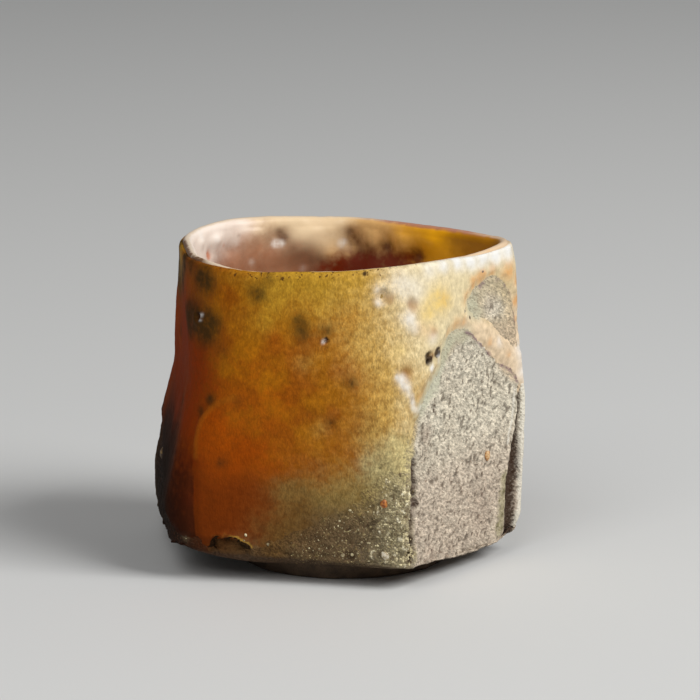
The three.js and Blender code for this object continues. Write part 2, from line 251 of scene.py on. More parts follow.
# %% The wire's flats
SHAVED_EDGE = 0.35
RIDGE_SLOPE = 0.7
FLAT_FACING = 0.3


def soft_min(first, second, width):
    """The smaller of two values, with the edge between them rounded over a width."""
    share = np.clip(0.5 + (second - first) / (2 * width), 0, 1)
    return blend(second, first, share) - width * share * (1 - share)


def shaved(bearing, level, radius):
    """Takes the wire's flat off each side, as far as it runs up the wall."""
    belly = REACH[:, 1]
    for side in range(SIDES):
        before, after = (side - 1) % SIDES, (side + 1) % SIDES
        deepest = belly[side] - SHAVE[side]
        top = BELLY_LEVEL + RUN_OUT[side]
        run_out = through(PROFILE_LEVELS, REACH[side], np.array(float(top)))
        flat = blend(deepest, run_out, (level - BELLY_LEVEL) / RUN_OUT[side])
        off = bearing - BEARING[side]
        facing = np.cos(off)
        along = radius * np.sin(off)
        turn_in = BEARING[side] - BEARING[before]
        turn_out = BEARING[after] - BEARING[side]
        start = -(belly[before] - belly[side] * math.cos(turn_in)) / math.sin(turn_in) + RIDGE[side]
        stop = (belly[after] - belly[side] * math.cos(turn_out)) / math.sin(turn_out) - RIDGE[side]
        within = ease(along, start - RIDGE_SLOPE, start) * ease(-along, -stop - RIDGE_SLOPE, -stop)
        within = within * (facing > FLAT_FACING) * (level < top)
        cut = soft_min(radius, flat / np.maximum(facing, FLAT_FACING), SHAVED_EDGE)
        radius = blend(radius, cut, within)
    return radius


belly_side = shaved(BEARING[RIGHT], BELLY_LEVEL, REACH[RIGHT][1])
print("the right side is shaved to", belly_side.round(2), "mm from the axis")

# %% [markdown]
# ## One skin from foot to floor
#
# A single coordinate, the station, runs up the outside from the wall's lower edge, over the lip, down the
# inside and along the floor to the middle. Below zero it runs down the bevel and in under the cup. With a
# bearing and a station every place on the clay has an address, and each piece is a grid of such addresses.

# %% Stretches of the skin, in mm
FOOT_HEIGHT = 3
FOOT_RADIUS = 19
SEAT_LEDGE = 1.2
WALL_THICKNESS = 4.6
FLOOR_LEVEL = 9
FLOOR_CORNER = 9
FLOOR_ROUND = 9
LIP_BEARINGS = [-150, -122, -100, -78, -52, -36, -18, 2, 30, 60, 90, 120, 138, 160, 180]
LIP_RISES = [-0.6, -1.1, -0.5, -0.2, 0, -0.3, -0.7, -0.3, 0.4, 0.5, 0.4, 0.6, 0.6, 0.1, -0.3]
# Amount, bearing and spread of the lower edge's lift at the left and of its sag under the right side
EDGE_LIFT = (1.6, math.radians(216), math.radians(90))
EDGE_SAG = (1.7, math.radians(-22), math.radians(52))
WALL_RUN = LIP_BASE - EDGE_LEVEL
LIP_RUN = math.pi * LIP_RADIUS
INNER_RUN = LIP_BASE - FLOOR_LEVEL - FLOOR_ROUND
TURN_RUN = math.pi / 2 * FLOOR_ROUND
FLOOR_RUN = 14
BEVEL_RUN = 6
UNDER_RUN = 20
LIP_START = WALL_RUN
INNER_START = LIP_START + LIP_RUN
TURN_START = INNER_START + INNER_RUN
FLOOR_START = TURN_START + TURN_RUN
SKIN_END = FLOOR_START + FLOOR_RUN
print("stations run from", -BEVEL_RUN - UNDER_RUN, "to", round(SKIN_END, 1), "mm")


# %% The skin
def skin(bearing, station):
    """Points of the clay's skin in mm."""
    bearing, station = np.broadcast_arrays(bearing, station)
    bevel = np.clip(-station / BEVEL_RUN, 0, 1)
    under = np.clip((-station - BEVEL_RUN) / UNDER_RUN, 0, 1)
    outer_level = EDGE_LEVEL + np.clip(station, 0, WALL_RUN)
    over = np.clip((station - LIP_START) / LIP_RADIUS, 0, math.pi)
    inner_level = LIP_BASE - np.clip(station - INNER_START, 0, INNER_RUN)
    turn = np.clip((station - TURN_START) / FLOOR_ROUND, 0, math.pi / 2)
    floor = np.clip((station - FLOOR_START) / FLOOR_RUN, 0, 1)

    outside = station <= LIP_START
    inside = station >= INNER_START
    lip_inset = LIP_RADIUS * (1 - np.cos(over))
    turn_inset = FLOOR_ROUND * (1 - np.cos(turn))
    wall = blend(WALL_THICKNESS, LIP_THICKNESS, climb(inner_level))
    reaches = []
    corners = []
    for side in range(SIDES):
        out = through(PROFILE_LEVELS, REACH[side], outer_level)
        out = blend(out, FOOT_RADIUS + SEAT_LEDGE, bevel)
        into = through(PROFILE_LEVELS, REACH[side], inner_level) - wall - turn_inset
        over_lip = REACH[side][-1] - lip_inset
        reaches.append(np.where(outside, out, np.where(inside, into, over_lip)))
        rim = RIM_CORNER[side]
        out = blend(EDGE_CORNER[side], rim, climb(outer_level))
        into = blend(FLOOR_CORNER, rim - LIP_THICKNESS, climb(inner_level)) - turn_inset
        into = np.maximum(into, LIP_RADIUS)
        corners.append(np.where(outside, out, np.where(inside, into, rim - lip_inset)))

    radius = ring_radius(bearing, reaches, corners)
    flat = shaved(bearing, outer_level, radius)
    radius = np.where(outside, blend(flat, radius, bevel), radius) * (1 - floor) * (1 - under)

    wall_level = blend(outer_level, FOOT_HEIGHT, bevel)
    floor_level = inner_level - FLOOR_ROUND * np.sin(turn)
    level = np.where(outside, wall_level, floor_level)
    on_lip = ~outside & ~inside
    level = np.where(on_lip, LIP_BASE + LIP_RADIUS * np.sin(over), level)
    rise = round_curve(LIP_BEARINGS, LIP_RISES, bearing)
    edge = swelling(bearing, *EDGE_LIFT) - swelling(bearing, *EDGE_SAG)
    high = climb(level)
    low = (1 - bevel) * (1 - high) * outside
    level = level + rise * high**2 + edge * low**2
    x = AXIS[0] + radius * np.cos(bearing)
    y = AXIS[1] + radius * np.sin(bearing)
    return np.stack([x, y, level], axis=-1)


print("top of the lip at the right corner:", skin(0, LIP_START + LIP_RUN / 2).round(1), "mm")

# %% Points and normals of the skin
NORMAL_STEP = 0.15
BELLY_RADIUS = 25
OUTLINE_SAMPLES = 4001


def patch(bearing, station):
    """A grid of addresses with their points and outward normals."""
    bearing, station = np.broadcast_arrays(bearing, station)
    points = skin(bearing, station)
    turn = NORMAL_STEP / BELLY_RADIUS
    along = skin(bearing + turn, station) - skin(bearing - turn, station)
    upward = skin(bearing, station + NORMAL_STEP) - skin(bearing, station - NORMAL_STEP)
    normals = np.cross(along, upward)
    normals = normals / np.maximum(np.linalg.norm(normals, axis=-1, keepdims=True), 1e-9)
    return {"bearing": bearing, "station": station, "points": points, "normals": normals}


def even_bearings(count):
    """Bearings that divide the belly's outline into equal lengths."""
    fine = np.linspace(-math.pi, math.pi, OUTLINE_SAMPLES)
    outline = skin(fine, BELLY_LEVEL - EDGE_LEVEL)
    length = np.concatenate([[0], np.cumsum(np.linalg.norm(np.diff(outline, axis=0), axis=1))])
    print("round the belly", round(length[-1], 1), "mm, a column every", round(length[-1] / count, 2), "mm")
    return np.interp(np.arange(count) * length[-1] / count, length, fine)


COLUMNS = 545
columns = even_bearings(COLUMNS)[None, :]

# %% [markdown]
# ## Roughness that repeats
#
# Hand-made surfaces need noise at known sizes: slow waves from the hand, grains from the grit. Blender's
# texture nodes give noise in a material, but the shape itself needs it as numbers, so two small functions
# make smooth waves and scattered grains from the points of space. They give the same result on every run.


# %% Waves and grains
def cell_value(cell, seed):
    """A value from 0 to 1 for each whole-numbered cell of space, the same on every run."""
    mixed = cell[..., 0] * 374761 + cell[..., 1] * 668265 + cell[..., 2] * 982451 + seed * 7919
    mixed = (mixed ^ (mixed >> 7)) * 1274126177 & 0x7FFFFFFF
    mixed = (mixed ^ (mixed >> 13)) * 1103515245 & 0x7FFFFFFF
    return ((mixed ^ (mixed >> 15)) & 0xFFFF) / 0xFFFF


def waves(points, size, seed):
    """Smooth noise between -1 and 1, with bumps about as wide as size in mm."""
    place = points / size
    cell = np.floor(place).astype(np.int64)
    part = place - cell
    part = part * part * (3 - 2 * part)
    total = 0
    for corner in np.ndindex(2, 2, 2):
        share = np.prod(np.where(corner, part, 1 - part), axis=-1)
        total = total + share * cell_value(cell + np.array(corner), seed)
    return 2 * total - 1


def rough(points, size, seed, octaves=3):
    """Waves with finer and weaker waves on them."""
    return sum(waves(points, size / 2**step, seed + step) / 2**step for step in range(octaves))


def grain_gap(points, size, seed):
    """Distance to the nearest of many scattered grains, in units of their spacing."""
    place = points / size
    cell = np.floor(place).astype(np.int64)
    nearest = np.full(points.shape[:-1], 9.0)
    for step in np.ndindex(3, 3, 3):
        there = cell + np.array(step) - 1
        middle = there + np.stack([cell_value(there, seed + axis) for axis in range(3)], axis=-1)
        nearest = np.minimum(nearest, np.linalg.norm(middle - place, axis=-1))
    return nearest


print("a few grain gaps:", grain_gap(np.eye(3) * 3.3, 0.9, 1).round(2))

# %% [markdown]
# ## Finding a place that the photograph shows
#
# A pixel of the photograph is a line of sight. The wall is sampled finely, the samples that face away from
# the camera are dropped, and the sample that falls nearest to the pixel is the place. The mark then has a
# real place on the skin, so it sits right from every side. The inside of the cup is looked up the same way.


# %% Lines of sight
def facing_camera(bearing, station):
    """Samples of the skin that face the camera: their places in the photograph and on the cup."""
    grid = patch(bearing, station)
    points = grid["points"].reshape(-1, 3)
    normals = grid["normals"].reshape(-1, 3)
    shown = ((eye - points) * normals).sum(axis=1) > 0
    return in_photo(points[shown]), points[shown]


SAMPLE_COLUMNS = 1200
OUTSIDE_STEP, INSIDE_STEP = 0.35, 0.5
sample_bearings = np.linspace(-math.pi, math.pi, SAMPLE_COLUMNS)[None, :]
outside_stations = np.arange(0, WALL_RUN + LIP_RUN / 2, OUTSIDE_STEP)[:, None]
outside_samples = facing_camera(sample_bearings, outside_stations)
inside_samples = facing_camera(sample_bearings, np.arange(INNER_START, TURN_START, INSIDE_STEP)[:, None])


def seen(x, y, samples=outside_samples):
    """The place on the cup, in mm, that shows at a pixel of the photograph."""
    pixels, places = samples
    return places[np.argmin(((pixels - (x, y)) ** 2).sum(axis=1))]


PATH_STEP_PX = 2


def path_gap(points, corners):
    """Distance in mm to a line drawn through pixels of the photograph."""
    corners = np.array(corners, dtype=float)
    legs = np.linalg.norm(np.diff(corners, axis=0), axis=1)
    run = np.concatenate([[0], np.cumsum(legs)])
    at = np.arange(0, run[-1], PATH_STEP_PX)
    gap = np.full(points.shape[:-1], np.inf)
    for x, y in zip(np.interp(at, run, corners[:, 0]), np.interp(at, run, corners[:, 1])):
        gap = np.minimum(gap, np.linalg.norm(points - seen(x, y), axis=-1))
    return gap


print("the pebble in the right side shows at", seen(490, 455).round(1))

# %% [markdown]
# ## How far the glaze covers
#
# The glaze ran down the wall and stopped at a wandering line. It stands high over the right side, in an arch,
# and a bare window is left near the right corner. The cover is the distance in mm from that line, above zero
# where there is glaze. Both clay and glaze read it, so that the edge of one fits the other.

# %% The glaze line
GLAZE_BEARINGS = [
    -141, -123, -107, -90, -79, -69, -65, -58, -54.7, -50.3, -48, -44, -40, -34, -26.5, -19, -12, -5, 1,
    5, 14, 48, 78, 110, 146, 172, 198,
]
GLAZE_RUN = [
    50, 50, 46, 42.5, 36.5, 33, 26, 22, 20.6, 19, 16.4, 14, 12.5, 12.3, 13, 15.8, 17.9, 20.4, 22.8, 26,
    33, 38, 33, 39, 34, 38, 44,
]
WINDOW_PX = [
    (468, 301), (472, 291), (478, 284), (487, 278), (496, 277), (503, 281), (510, 288), (513, 301),
    (515, 316), (517, 331), (519, 347), (512, 345), (505, 340), (498, 331), (492, 323), (485, 320),
    (476, 317), (469, 310),
]
MEAN_RADIUS = 29
LINE_LOWEST = 0.6
SLOPE_STEP = 0.02


def line_station(bearing):
    """The station of the glaze line."""
    level = LIP_LEVEL - round_curve(GLAZE_BEARINGS, GLAZE_RUN, bearing)
    return np.maximum(level - EDGE_LEVEL, LINE_LOWEST)


def on_side(points, side):
    """Places on a side, as mm along it and up it, and how far out of the axis they are."""
    flat = points[..., :2] - AXIS
    facing, sweep = math.cos(BEARING[side]), math.sin(BEARING[side])
    along = flat[..., 1] * facing - flat[..., 0] * sweep
    return np.stack([along, points[..., 2]], axis=-1), flat[..., 0] * facing + flat[..., 1] * sweep


def depth_inside(places, corners):
    """How far flat places lie inside a closed outline, below zero outside it."""
    gap = np.full(places.shape[:-1], np.inf)
    inside = np.zeros(places.shape[:-1], dtype=bool)
    for start, stop in zip(corners, np.roll(corners, -1, axis=0)):
        leg = stop - start
        share = np.clip((places - start) @ leg / (leg @ leg), 0, 1)
        gap = np.minimum(gap, np.linalg.norm(places - start - share[..., None] * leg, axis=-1))
        passes = (start[1] > places[..., 1]) != (stop[1] > places[..., 1])
        slant = leg[0] / (leg[1] or 1e-9)
        crossing = start[0] + (places[..., 1] - start[1]) * slant
        inside ^= passes & (places[..., 0] < crossing)
    return np.where(inside, gap, -gap)


window_outline = on_side(np.array([seen(x, y) for x, y in WINDOW_PX]), RIGHT)[0]


def glaze_cover(place):
    """Distance inside the glaze in mm, below zero on bare clay."""
    bearing, points = place["bearing"], place["points"]
    line = line_station(bearing)
    climbs = line_station(bearing + SLOPE_STEP) - line_station(bearing - SLOPE_STEP)
    slope = climbs / (2 * SLOPE_STEP * MEAN_RADIUS)
    cover = (place["station"] - line) / np.sqrt(1 + slope**2)
    flat, out = on_side(points, RIGHT)
    window = np.where(out > 0, -depth_inside(flat, window_outline), np.inf)
    ragged = 0.4 * rough(points, 3.0, 11) + 0.2 * waves(points, 0.9, 14)
    return np.minimum(cover, window) + ragged


whole_wall = patch(columns, np.arange(0, WALL_RUN, 0.5)[:, None])
print("glazed share of the wall", round(float((glaze_cover(whole_wall) > 0).mean()), 2))
window_low, window_high = window_outline.min(axis=0), window_outline.max(axis=0)
print("window along and up the right side", window_low.round(1), window_high.round(1))

# %% [markdown]
# ## Zones of the fire
#
# Where the flame was strong the glaze is orange and red, where ash settled thickly it is gold and cream, and
# near the ember bed it is a grey crust. The wall is divided into zones that melt into each other. Each zone
# is a few places with a reach, and a point belongs most to the zone whose places are nearest, so that the
# shares of all the zones add up to one. Places on the front come from the photograph, and the hidden sides
# carry the same zones on places of their own. The zones could be painted as a picture, but shares that are
# kept with the points need no picture and follow the shape. The materials turn them into colours.

# %% Zones that the photograph shows: pixel, and reach in mm
ZONES = {
    "amber": [
        (300, 355, 9), (270, 400, 8), (320, 400, 8), (345, 425, 6), (255, 340, 7), (232, 300, 4),
        (235, 380, 4), (300, 452, 6), (338, 452, 5), (346, 316, 3),
    ],
    "honey": [(285, 288, 5), (320, 286, 5), (350, 280, 5), (262, 315, 3)],
    "gold": [
        (350, 312, 5), (372, 342, 6), (385, 370, 4), (388, 405, 5), (372, 302, 3), (370, 428, 4),
        (303, 362, 2.2), (322, 430, 2.2),
    ],
    "orange": [
        (222, 440, 6), (252, 450, 4), (213, 420, 3.5), (228, 468, 4), (270, 468, 3), (268, 403, 3),
        (184, 318, 2.2), (186, 338, 2), (178, 300, 2.2), (177, 322, 2.2), (270, 330, 1.8),
    ],
    "rust": [(213, 500, 6), (235, 505, 6), (205, 530, 5), (200, 470, 3), (258, 495, 5), (245, 525, 4)],
    "red": [
        (182, 300, 3.5), (180, 340, 5), (178, 370, 5), (183, 400, 4), (200, 385, 4), (190, 430, 2.4),
        (189, 465, 2.4), (205, 360, 4), (190, 412, 3), (189, 495, 2),
    ],
    "char": [(168, 430, 4), (168, 470, 5), (172, 510, 5), (182, 545, 4), (162, 405, 2.5), (186, 525, 2)],
    "olive": [(355, 487, 4), (335, 493, 4), (372, 485, 3), (315, 500, 3), (287, 495, 2.4)],
    "sage": [(388, 460, 4), (400, 447, 3), (375, 470, 3), (405, 470, 3)],
    "umber": [(300, 512, 4), (280, 522, 4), (295, 535, 4), (270, 545, 4), (262, 522, 3), (282, 497, 3)],
    "crust": [(330, 540, 5), (350, 525, 5), (300, 560, 4), (340, 562, 5), (365, 545, 5), (245, 562, 3)],
    "ash": [
        (393, 499, 3), (400, 487, 2), (392, 495, 3), (400, 505, 4), (402, 535, 5), (394, 555, 4),
        (388, 530, 3.5), (382, 512, 2), (187, 536, 1.0),
    ],
    "straw": [
        (398, 345, 3.5), (395, 310, 4), (388, 288, 4), (402, 370, 3), (412, 350, 3), (405, 400, 2.5),
        (409, 425, 2),
    ],
    "cream": [
        (420, 300, 5), (440, 322, 5), (450, 290, 6), (430, 277, 5), (470, 270, 6), (500, 268, 5),
        (425, 345, 4),
    ],
    "peach": [
        (465, 324, 2.5), (480, 331, 3), (495, 345, 3.5), (510, 358, 3), (516, 372, 2.5), (521, 345, 3),
        (522, 365, 3), (515, 280, 2), (516, 305, 2),
    ],
    "bare": [
        (460, 420, 8), (450, 480, 8), (480, 500, 8), (500, 440, 6), (440, 530, 8), (432, 450, 5),
        (500, 400, 5), (470, 360, 4), (497, 300, 4), (480, 380, 6), (425, 560, 4), (424, 470, 3),
        (424, 510, 3), (440, 400, 3),
    ],
}
print("places seen:", sum(map(len, ZONES.values())))

# %% Zones on the hidden sides: bearing in degrees, level and reach in mm
HIDDEN_ZONES = {
    "amber": [(110, 40, 8), (80, 42, 8), (45, 44, 7), (140, 42, 7)],
    "honey": [(100, 51, 5), (60, 52, 5), (140, 51, 5), (175, 52, 5)],
    "gold": [(60, 36, 6), (30, 42, 6), (95, 34, 5)],
    "orange": [(125, 30, 7), (90, 27, 6), (150, 34, 6)],
    "rust": [(140, 24, 7), (108, 22, 6), (160, 28, 6)],
    "red": [(186, 42, 9), (165, 44, 8), (205, 40, 6), (175, 34, 6)],
    "char": [(190, 18, 11), (175, 12, 9), (168, 22, 7), (203, 12, 7)],
    "olive": [(70, 22, 6), (120, 14, 5), (48, 20, 5)],
    "crust": [(60, 10, 7), (85, 13, 8), (110, 8, 7), (140, 10, 8), (35, 10, 6)],
    "straw": [(20, 49, 5), (-5, 48, 5), (35, 52, 4)],
    "cream": [(0, 52, 4), (-15, 52, 4)],
    "peach": [(-2, 38, 5), (10, 34, 5), (5, 44, 4)],
    "bare": [(12, 18, 8), (20, 10, 7), (0, 26, 6), (30, 24, 5)],
}
print("places hidden:", sum(map(len, HIDDEN_ZONES.values())))


# %% Shares of the zones
def seen_places(rows, samples=outside_samples):
    """Places given by pixels of the photograph, each with its sizes."""
    return [(seen(x, y, samples), *sizes) for x, y, *sizes in rows]


def hidden_places(rows):
    """Places on the hidden sides, given by bearing in degrees and level in mm, each with its sizes."""
    return [(skin(np.radians(bearing), level - EDGE_LEVEL), *sizes) for bearing, level, *sizes in rows]


PULL_FALL = 2.4
ZONE_WANDER, ZONE_WAVE = 1.2, 6.0


def near_places(points, places):
    """The summed pull of places with a reach: strong close by, never quite nothing."""
    pull = np.zeros(points.shape[:-1])
    for middle, radius in places:
        gap = np.linalg.norm(points - middle, axis=-1)
        pull = pull + (1 + (gap / radius) ** 2) ** -PULL_FALL
    return pull


def shares(points, places_of):
    """How much of each zone lies at each point, all zones together making one."""
    astray = np.stack([rough(points, ZONE_WAVE, seed) for seed in (31, 33, 35)], axis=-1)
    wander = points + ZONE_WANDER * astray
    pulls = {zone: near_places(wander, places) for zone, places in places_of.items()}
    total = sum(pulls.values())
    return {zone: pull / total for zone, pull in pulls.items()}


def mix_steps(parts, ground, left_out=()):
    """Shares turned into steps: how far each zone is mixed over the ones before it, from the ground on."""
    running = parts[ground]
    steps = {}
    for zone, part in parts.items():
        if zone != ground and zone not in left_out:
            running = running + part
            steps[zone] = part / running
    return steps


outside_zones = {
    zone: seen_places(rows) + hidden_places(HIDDEN_ZONES.get(zone, [])) for zone, rows in ZONES.items()
}
wall_shares = shares(whole_wall["points"], outside_zones)
print("zones:", {zone: round(float(share.mean()), 2) for zone, share in wall_shares.items()})

# %% [markdown]
# ## Marks within the zones
#
# On top of the zones lie smaller marks: dark clouds where iron gathered, iron spots, the smooth grey-green
# halo where thin glaze soaked into the clay beside the arch, and a plum line along the glaze's edge. Dark
# spots laid into pits and holes are painted shade, and near-white dabs and streaks are painted highlights.
# Sand in the clay and in the ash crust stands out as grains, pale on top and dark between. Most marks are
# made of soft dabs, each with a place, a radius in mm and a weight, because a few dabs can follow any blot.

# %% Clouds, iron spots with painted shade in holes, and dents
CLOUD_DABS = [
    (181, 246, 2.0, 0.9), (179, 256, 2.4, 0.9), (187, 258, 1.5, 0.8), (183, 275, 2.6, 0.6),
    (203, 278, 2.6, 0.8), (211, 284, 2.2, 0.8), (196, 308, 2.6, 0.6), (203, 320, 3.4, 0.9),
    (193, 316, 2.2, 0.8), (195, 328, 2.0, 0.7), (190, 308, 1.6, 0.5), (209, 332, 2.6, 0.8),
    (216, 322, 2.4, 0.6), (259, 293, 1.9, 0.75), (301, 324, 2.0, 0.5), (303, 335, 1.8, 0.5),
    (271, 279, 1.3, 0.5), (186, 330, 2.0, 0.5), (213, 399, 1.3, 0.8), (203, 410, 1.2, 0.7),
    (328, 331, 1.5, 0.6), (300, 318, 1.6, 0.4), (351, 381, 1.5, 0.5), (333, 420, 1.5, 0.45),
    (336, 302, 1.8, 0.25), (222, 462, 1.6, 0.5), (238, 400, 1.4, 0.35), (225, 350, 1.8, 0.35),
    (308, 412, 1.4, 0.25), (186, 400, 1.2, 0.6), (250, 330, 1.6, 0.15), (270, 360, 2.2, 0.15),
    (320, 375, 1.6, 0.15),
]
CLOUD_ROUND = [
    (175, 50, 4, 0.7), (-165, 54.5, 2.6, 0.9), (-172, 51, 3, 0.9), (-155, 55, 2, 0.7), (140, 47, 4, 0.6),
    (120, 40, 3, 0.5), (85, 44, 3, 0.6), (40, 41, 3, 0.5),
]
# Iron spots; those in pits and holes are painted shade inside them.
SPOT_AND_HOLE_SHADE_DABS = [
    (204, 316, 1.0, 0.9), (327, 339, 0.55, 1), (351, 381, 0.6, 0.5), (333, 421, 0.6, 0.6),
    (222, 462, 0.5, 0.5), (207, 464, 0.4, 0.5), (338, 400, 0.4, 0.5), (365, 275, 0.45, 0.9),
    (335, 280, 0.35, 0.9), (270, 275, 0.5, 0.8), (283, 280, 0.4, 0.7), (426.5, 355, 0.95, 1),
    (426, 361, 1.0, 1), (435.5, 350, 0.85, 1), (435, 354, 0.8, 1), (438, 345, 0.3, 1),
    (410, 399, 0.3, 0.9), (380, 468, 0.5, 0.6), (186, 400, 0.5, 0.7), (213, 264, 0.35, 0.8),
    (218, 266.5, 0.4, 0.9), (222, 267.5, 0.35, 0.8), (231, 271, 0.35, 0.9), (235, 272, 0.3, 0.8),
    (470, 316, 0.5, 0.8), (388, 268, 0.35, 0.9), (395, 267, 0.3, 0.8), (402, 266, 0.35, 0.9),
    (415, 264, 0.3, 0.7), (420, 263, 0.3, 0.8), (439, 261, 0.35, 0.9), (448, 259, 0.25, 0.7),
    (481, 272, 0.3, 0.9),
]
SPOT_AND_HOLE_SHADE_ROUND = [
    (130, 44, 1.0, 0.8), (150, 38, 0.8, 0.8), (95, 46, 0.9, 0.8), (70, 42, 0.8, 0.8),
    (110, 36, 1.0, 0.8),
]
DENT_DABS = [
    (411, 305, 1.5, 0.8), (405, 372, 1.5, 0.9), (431, 331, 0.9, 0.6), (430, 354, 1.0, 0.8),
    (388, 297, 1.2, 0.7),
]
print("clouds", len(CLOUD_DABS + CLOUD_ROUND), "spots", len(SPOT_AND_HOLE_SHADE_DABS + SPOT_AND_HOLE_SHADE_ROUND), "dents", len(DENT_DABS))

# %% Painted highlights, and warmer or darker tones
# Painted highlights on the lip, the lumps and in pits; a few small ones are the glaze's pale edge.
HIGHLIGHT_DABS = [
    (406, 319, 1.5, 0.6), (411, 329, 1.6, 0.4), (429, 368, 0.8, 0.8), (438, 359, 0.8, 0.7),
    (421, 410, 0.9, 0.7), (399, 380, 1.2, 0.7), (404, 387, 1.1, 0.7), (377, 291, 1.2, 0.4),
    (378, 303, 0.9, 0.5), (398, 284, 3.0, 0.4), (430, 338, 1.6, 0.4), (428, 269, 1.8, 0.5),
    (442, 265, 1.9, 0.7), (455, 261, 2.0, 0.9), (468, 259, 2.2, 0.95), (481, 256, 2.2, 0.95),
    (494, 253, 2.2, 0.95), (506, 250, 2.2, 0.9), (520, 350, 2.0, 0.6), (522, 372, 2.0, 0.6),
    (416, 432, 0.5, 0.6), (416, 444, 0.5, 0.6), (498, 342, 1.0, 0.5), (415, 290, 3.0, 0.35),
    (206, 314, 0.45, 0.7), (205, 320, 0.4, 0.8), (323, 341.5, 0.45, 0.9),
]
# A streak of painted highlight down the lumps of the front corner.
HIGHLIGHT_LINE = [(396, 377), (403, 384), (404, 391), (410, 397), (411, 406), (418, 412)]
LEMON_DABS = [(436, 298, 3.0, 0.5), (425, 312, 2.2, 0.4), (445, 302, 2.0, 0.4), (398, 350, 1.8, 0.3)]
WARM_DABS = [
    (480, 276, 1.7, 0.8), (472, 285, 1.5, 0.7), (464, 297, 1.5, 0.6), (492, 271, 1.5, 0.6),
    (506, 269, 2.2, 0.7), (515, 280, 1.3, 0.8), (516, 300, 1.2, 0.8), (518, 318, 1.0, 0.6),
    (455, 325, 1.5, 0.6), (448, 333, 1.2, 0.6), (463, 323, 1.2, 0.5), (430, 332, 1.6, 0.4),
    (488, 341, 1.0, 0.5), (507, 353, 1.0, 0.5), (442, 300, 2.0, 0.25), (418, 330, 1.8, 0.3),
    (420, 395, 1.6, 0.4),
]
DIM_DABS = [
    (480, 512, 6, 0.5), (425, 435, 2.6, 0.7), (424, 455, 2.2, 0.5), (430, 556, 2.6, 0.6),
    (450, 551, 2.4, 0.5), (492, 303, 3, 0.5), (500, 325, 2, 0.4), (445, 400, 2.0, 0.3),
]
print("painted_highlight", len(HIGHLIGHT_DABS), "lemon", len(LEMON_DABS), "warm", len(WARM_DABS), "dim", len(DIM_DABS))

# %% The halo and the plum line
HALO_PX = [
    (418, 408), (425, 398), (432, 388), (438, 378), (445, 366), (451, 354), (457, 344), (464, 337),
    (473, 306), (476, 312), (450, 345),
]
PLUM_PX = [
    (468, 333), (475, 337), (482, 344), (490, 352), (503, 362), (509, 368), (516, 377), (486, 279),
    (495, 277), (505, 282), (511, 289), (514, 305), (516, 320), (482, 283),
]
HALO_WIDE, PLUM_WIDE = 2.2, 0.55
HALO_DAB, PLUM_DAB = (2.6, 0.7), (1.5, 0.8)
halo_dabs = [(seen(x, y), *HALO_DAB) for x, y in HALO_PX]
plum_dabs = [(seen(x, y), *PLUM_DAB) for x, y in PLUM_PX]
print("halo from", halo_dabs[0][0].round(1), "to", halo_dabs[-1][0].round(1))


# %% Soft dabs and grit
def dabs(points, middles):
    """How strongly points lie under soft round dabs: each a middle, a radius in mm and a weight."""
    clear = np.ones(points.shape[:-1])
    for middle, radius, weight in middles:
        gap = np.linalg.norm(points - middle, axis=-1)
        clear = clear * (1 - weight * np.exp(-((gap / radius) ** 2)))
    return 1 - clear


MARK_DABS = {
    "cloud": seen_places(CLOUD_DABS) + hidden_places(CLOUD_ROUND),
    "iron_spot_and_hole_shade": seen_places(SPOT_AND_HOLE_SHADE_DABS) + hidden_places(SPOT_AND_HOLE_SHADE_ROUND),
    "dent": seen_places(DENT_DABS),
    "painted_highlight": seen_places(HIGHLIGHT_DABS),
    "lemon": seen_places(LEMON_DABS),
    "warm": seen_places(WARM_DABS),
    "dim": seen_places(DIM_DABS),
}


def front_share(bearing):
    """1 at the front of the cup, and 0 round its back."""
    return ease(swelling(bearing, 1, math.radians(-80), math.radians(110)), 0.1, 0.6)


def grit_relief(points, size):
    """Sand with grains of a size in mm, about -1 in the gaps and 1 on the grains."""
    return 1.7 * (0.52 - grain_gap(points, size, 21)) + 0.6 * rough(points, 1.15 * size, 22, octaves=2)


print("dabs:", {mark: len(middles) for mark, middles in MARK_DABS.items()})

# %% All marks of the wall
GRIT_SIZE, CRUST_SIZE = 0.65, 1.2
UNSTEADY, UNSTEADY_WAVE = 0.35, 1.4
HIGHLIGHT_HALF = 0.7


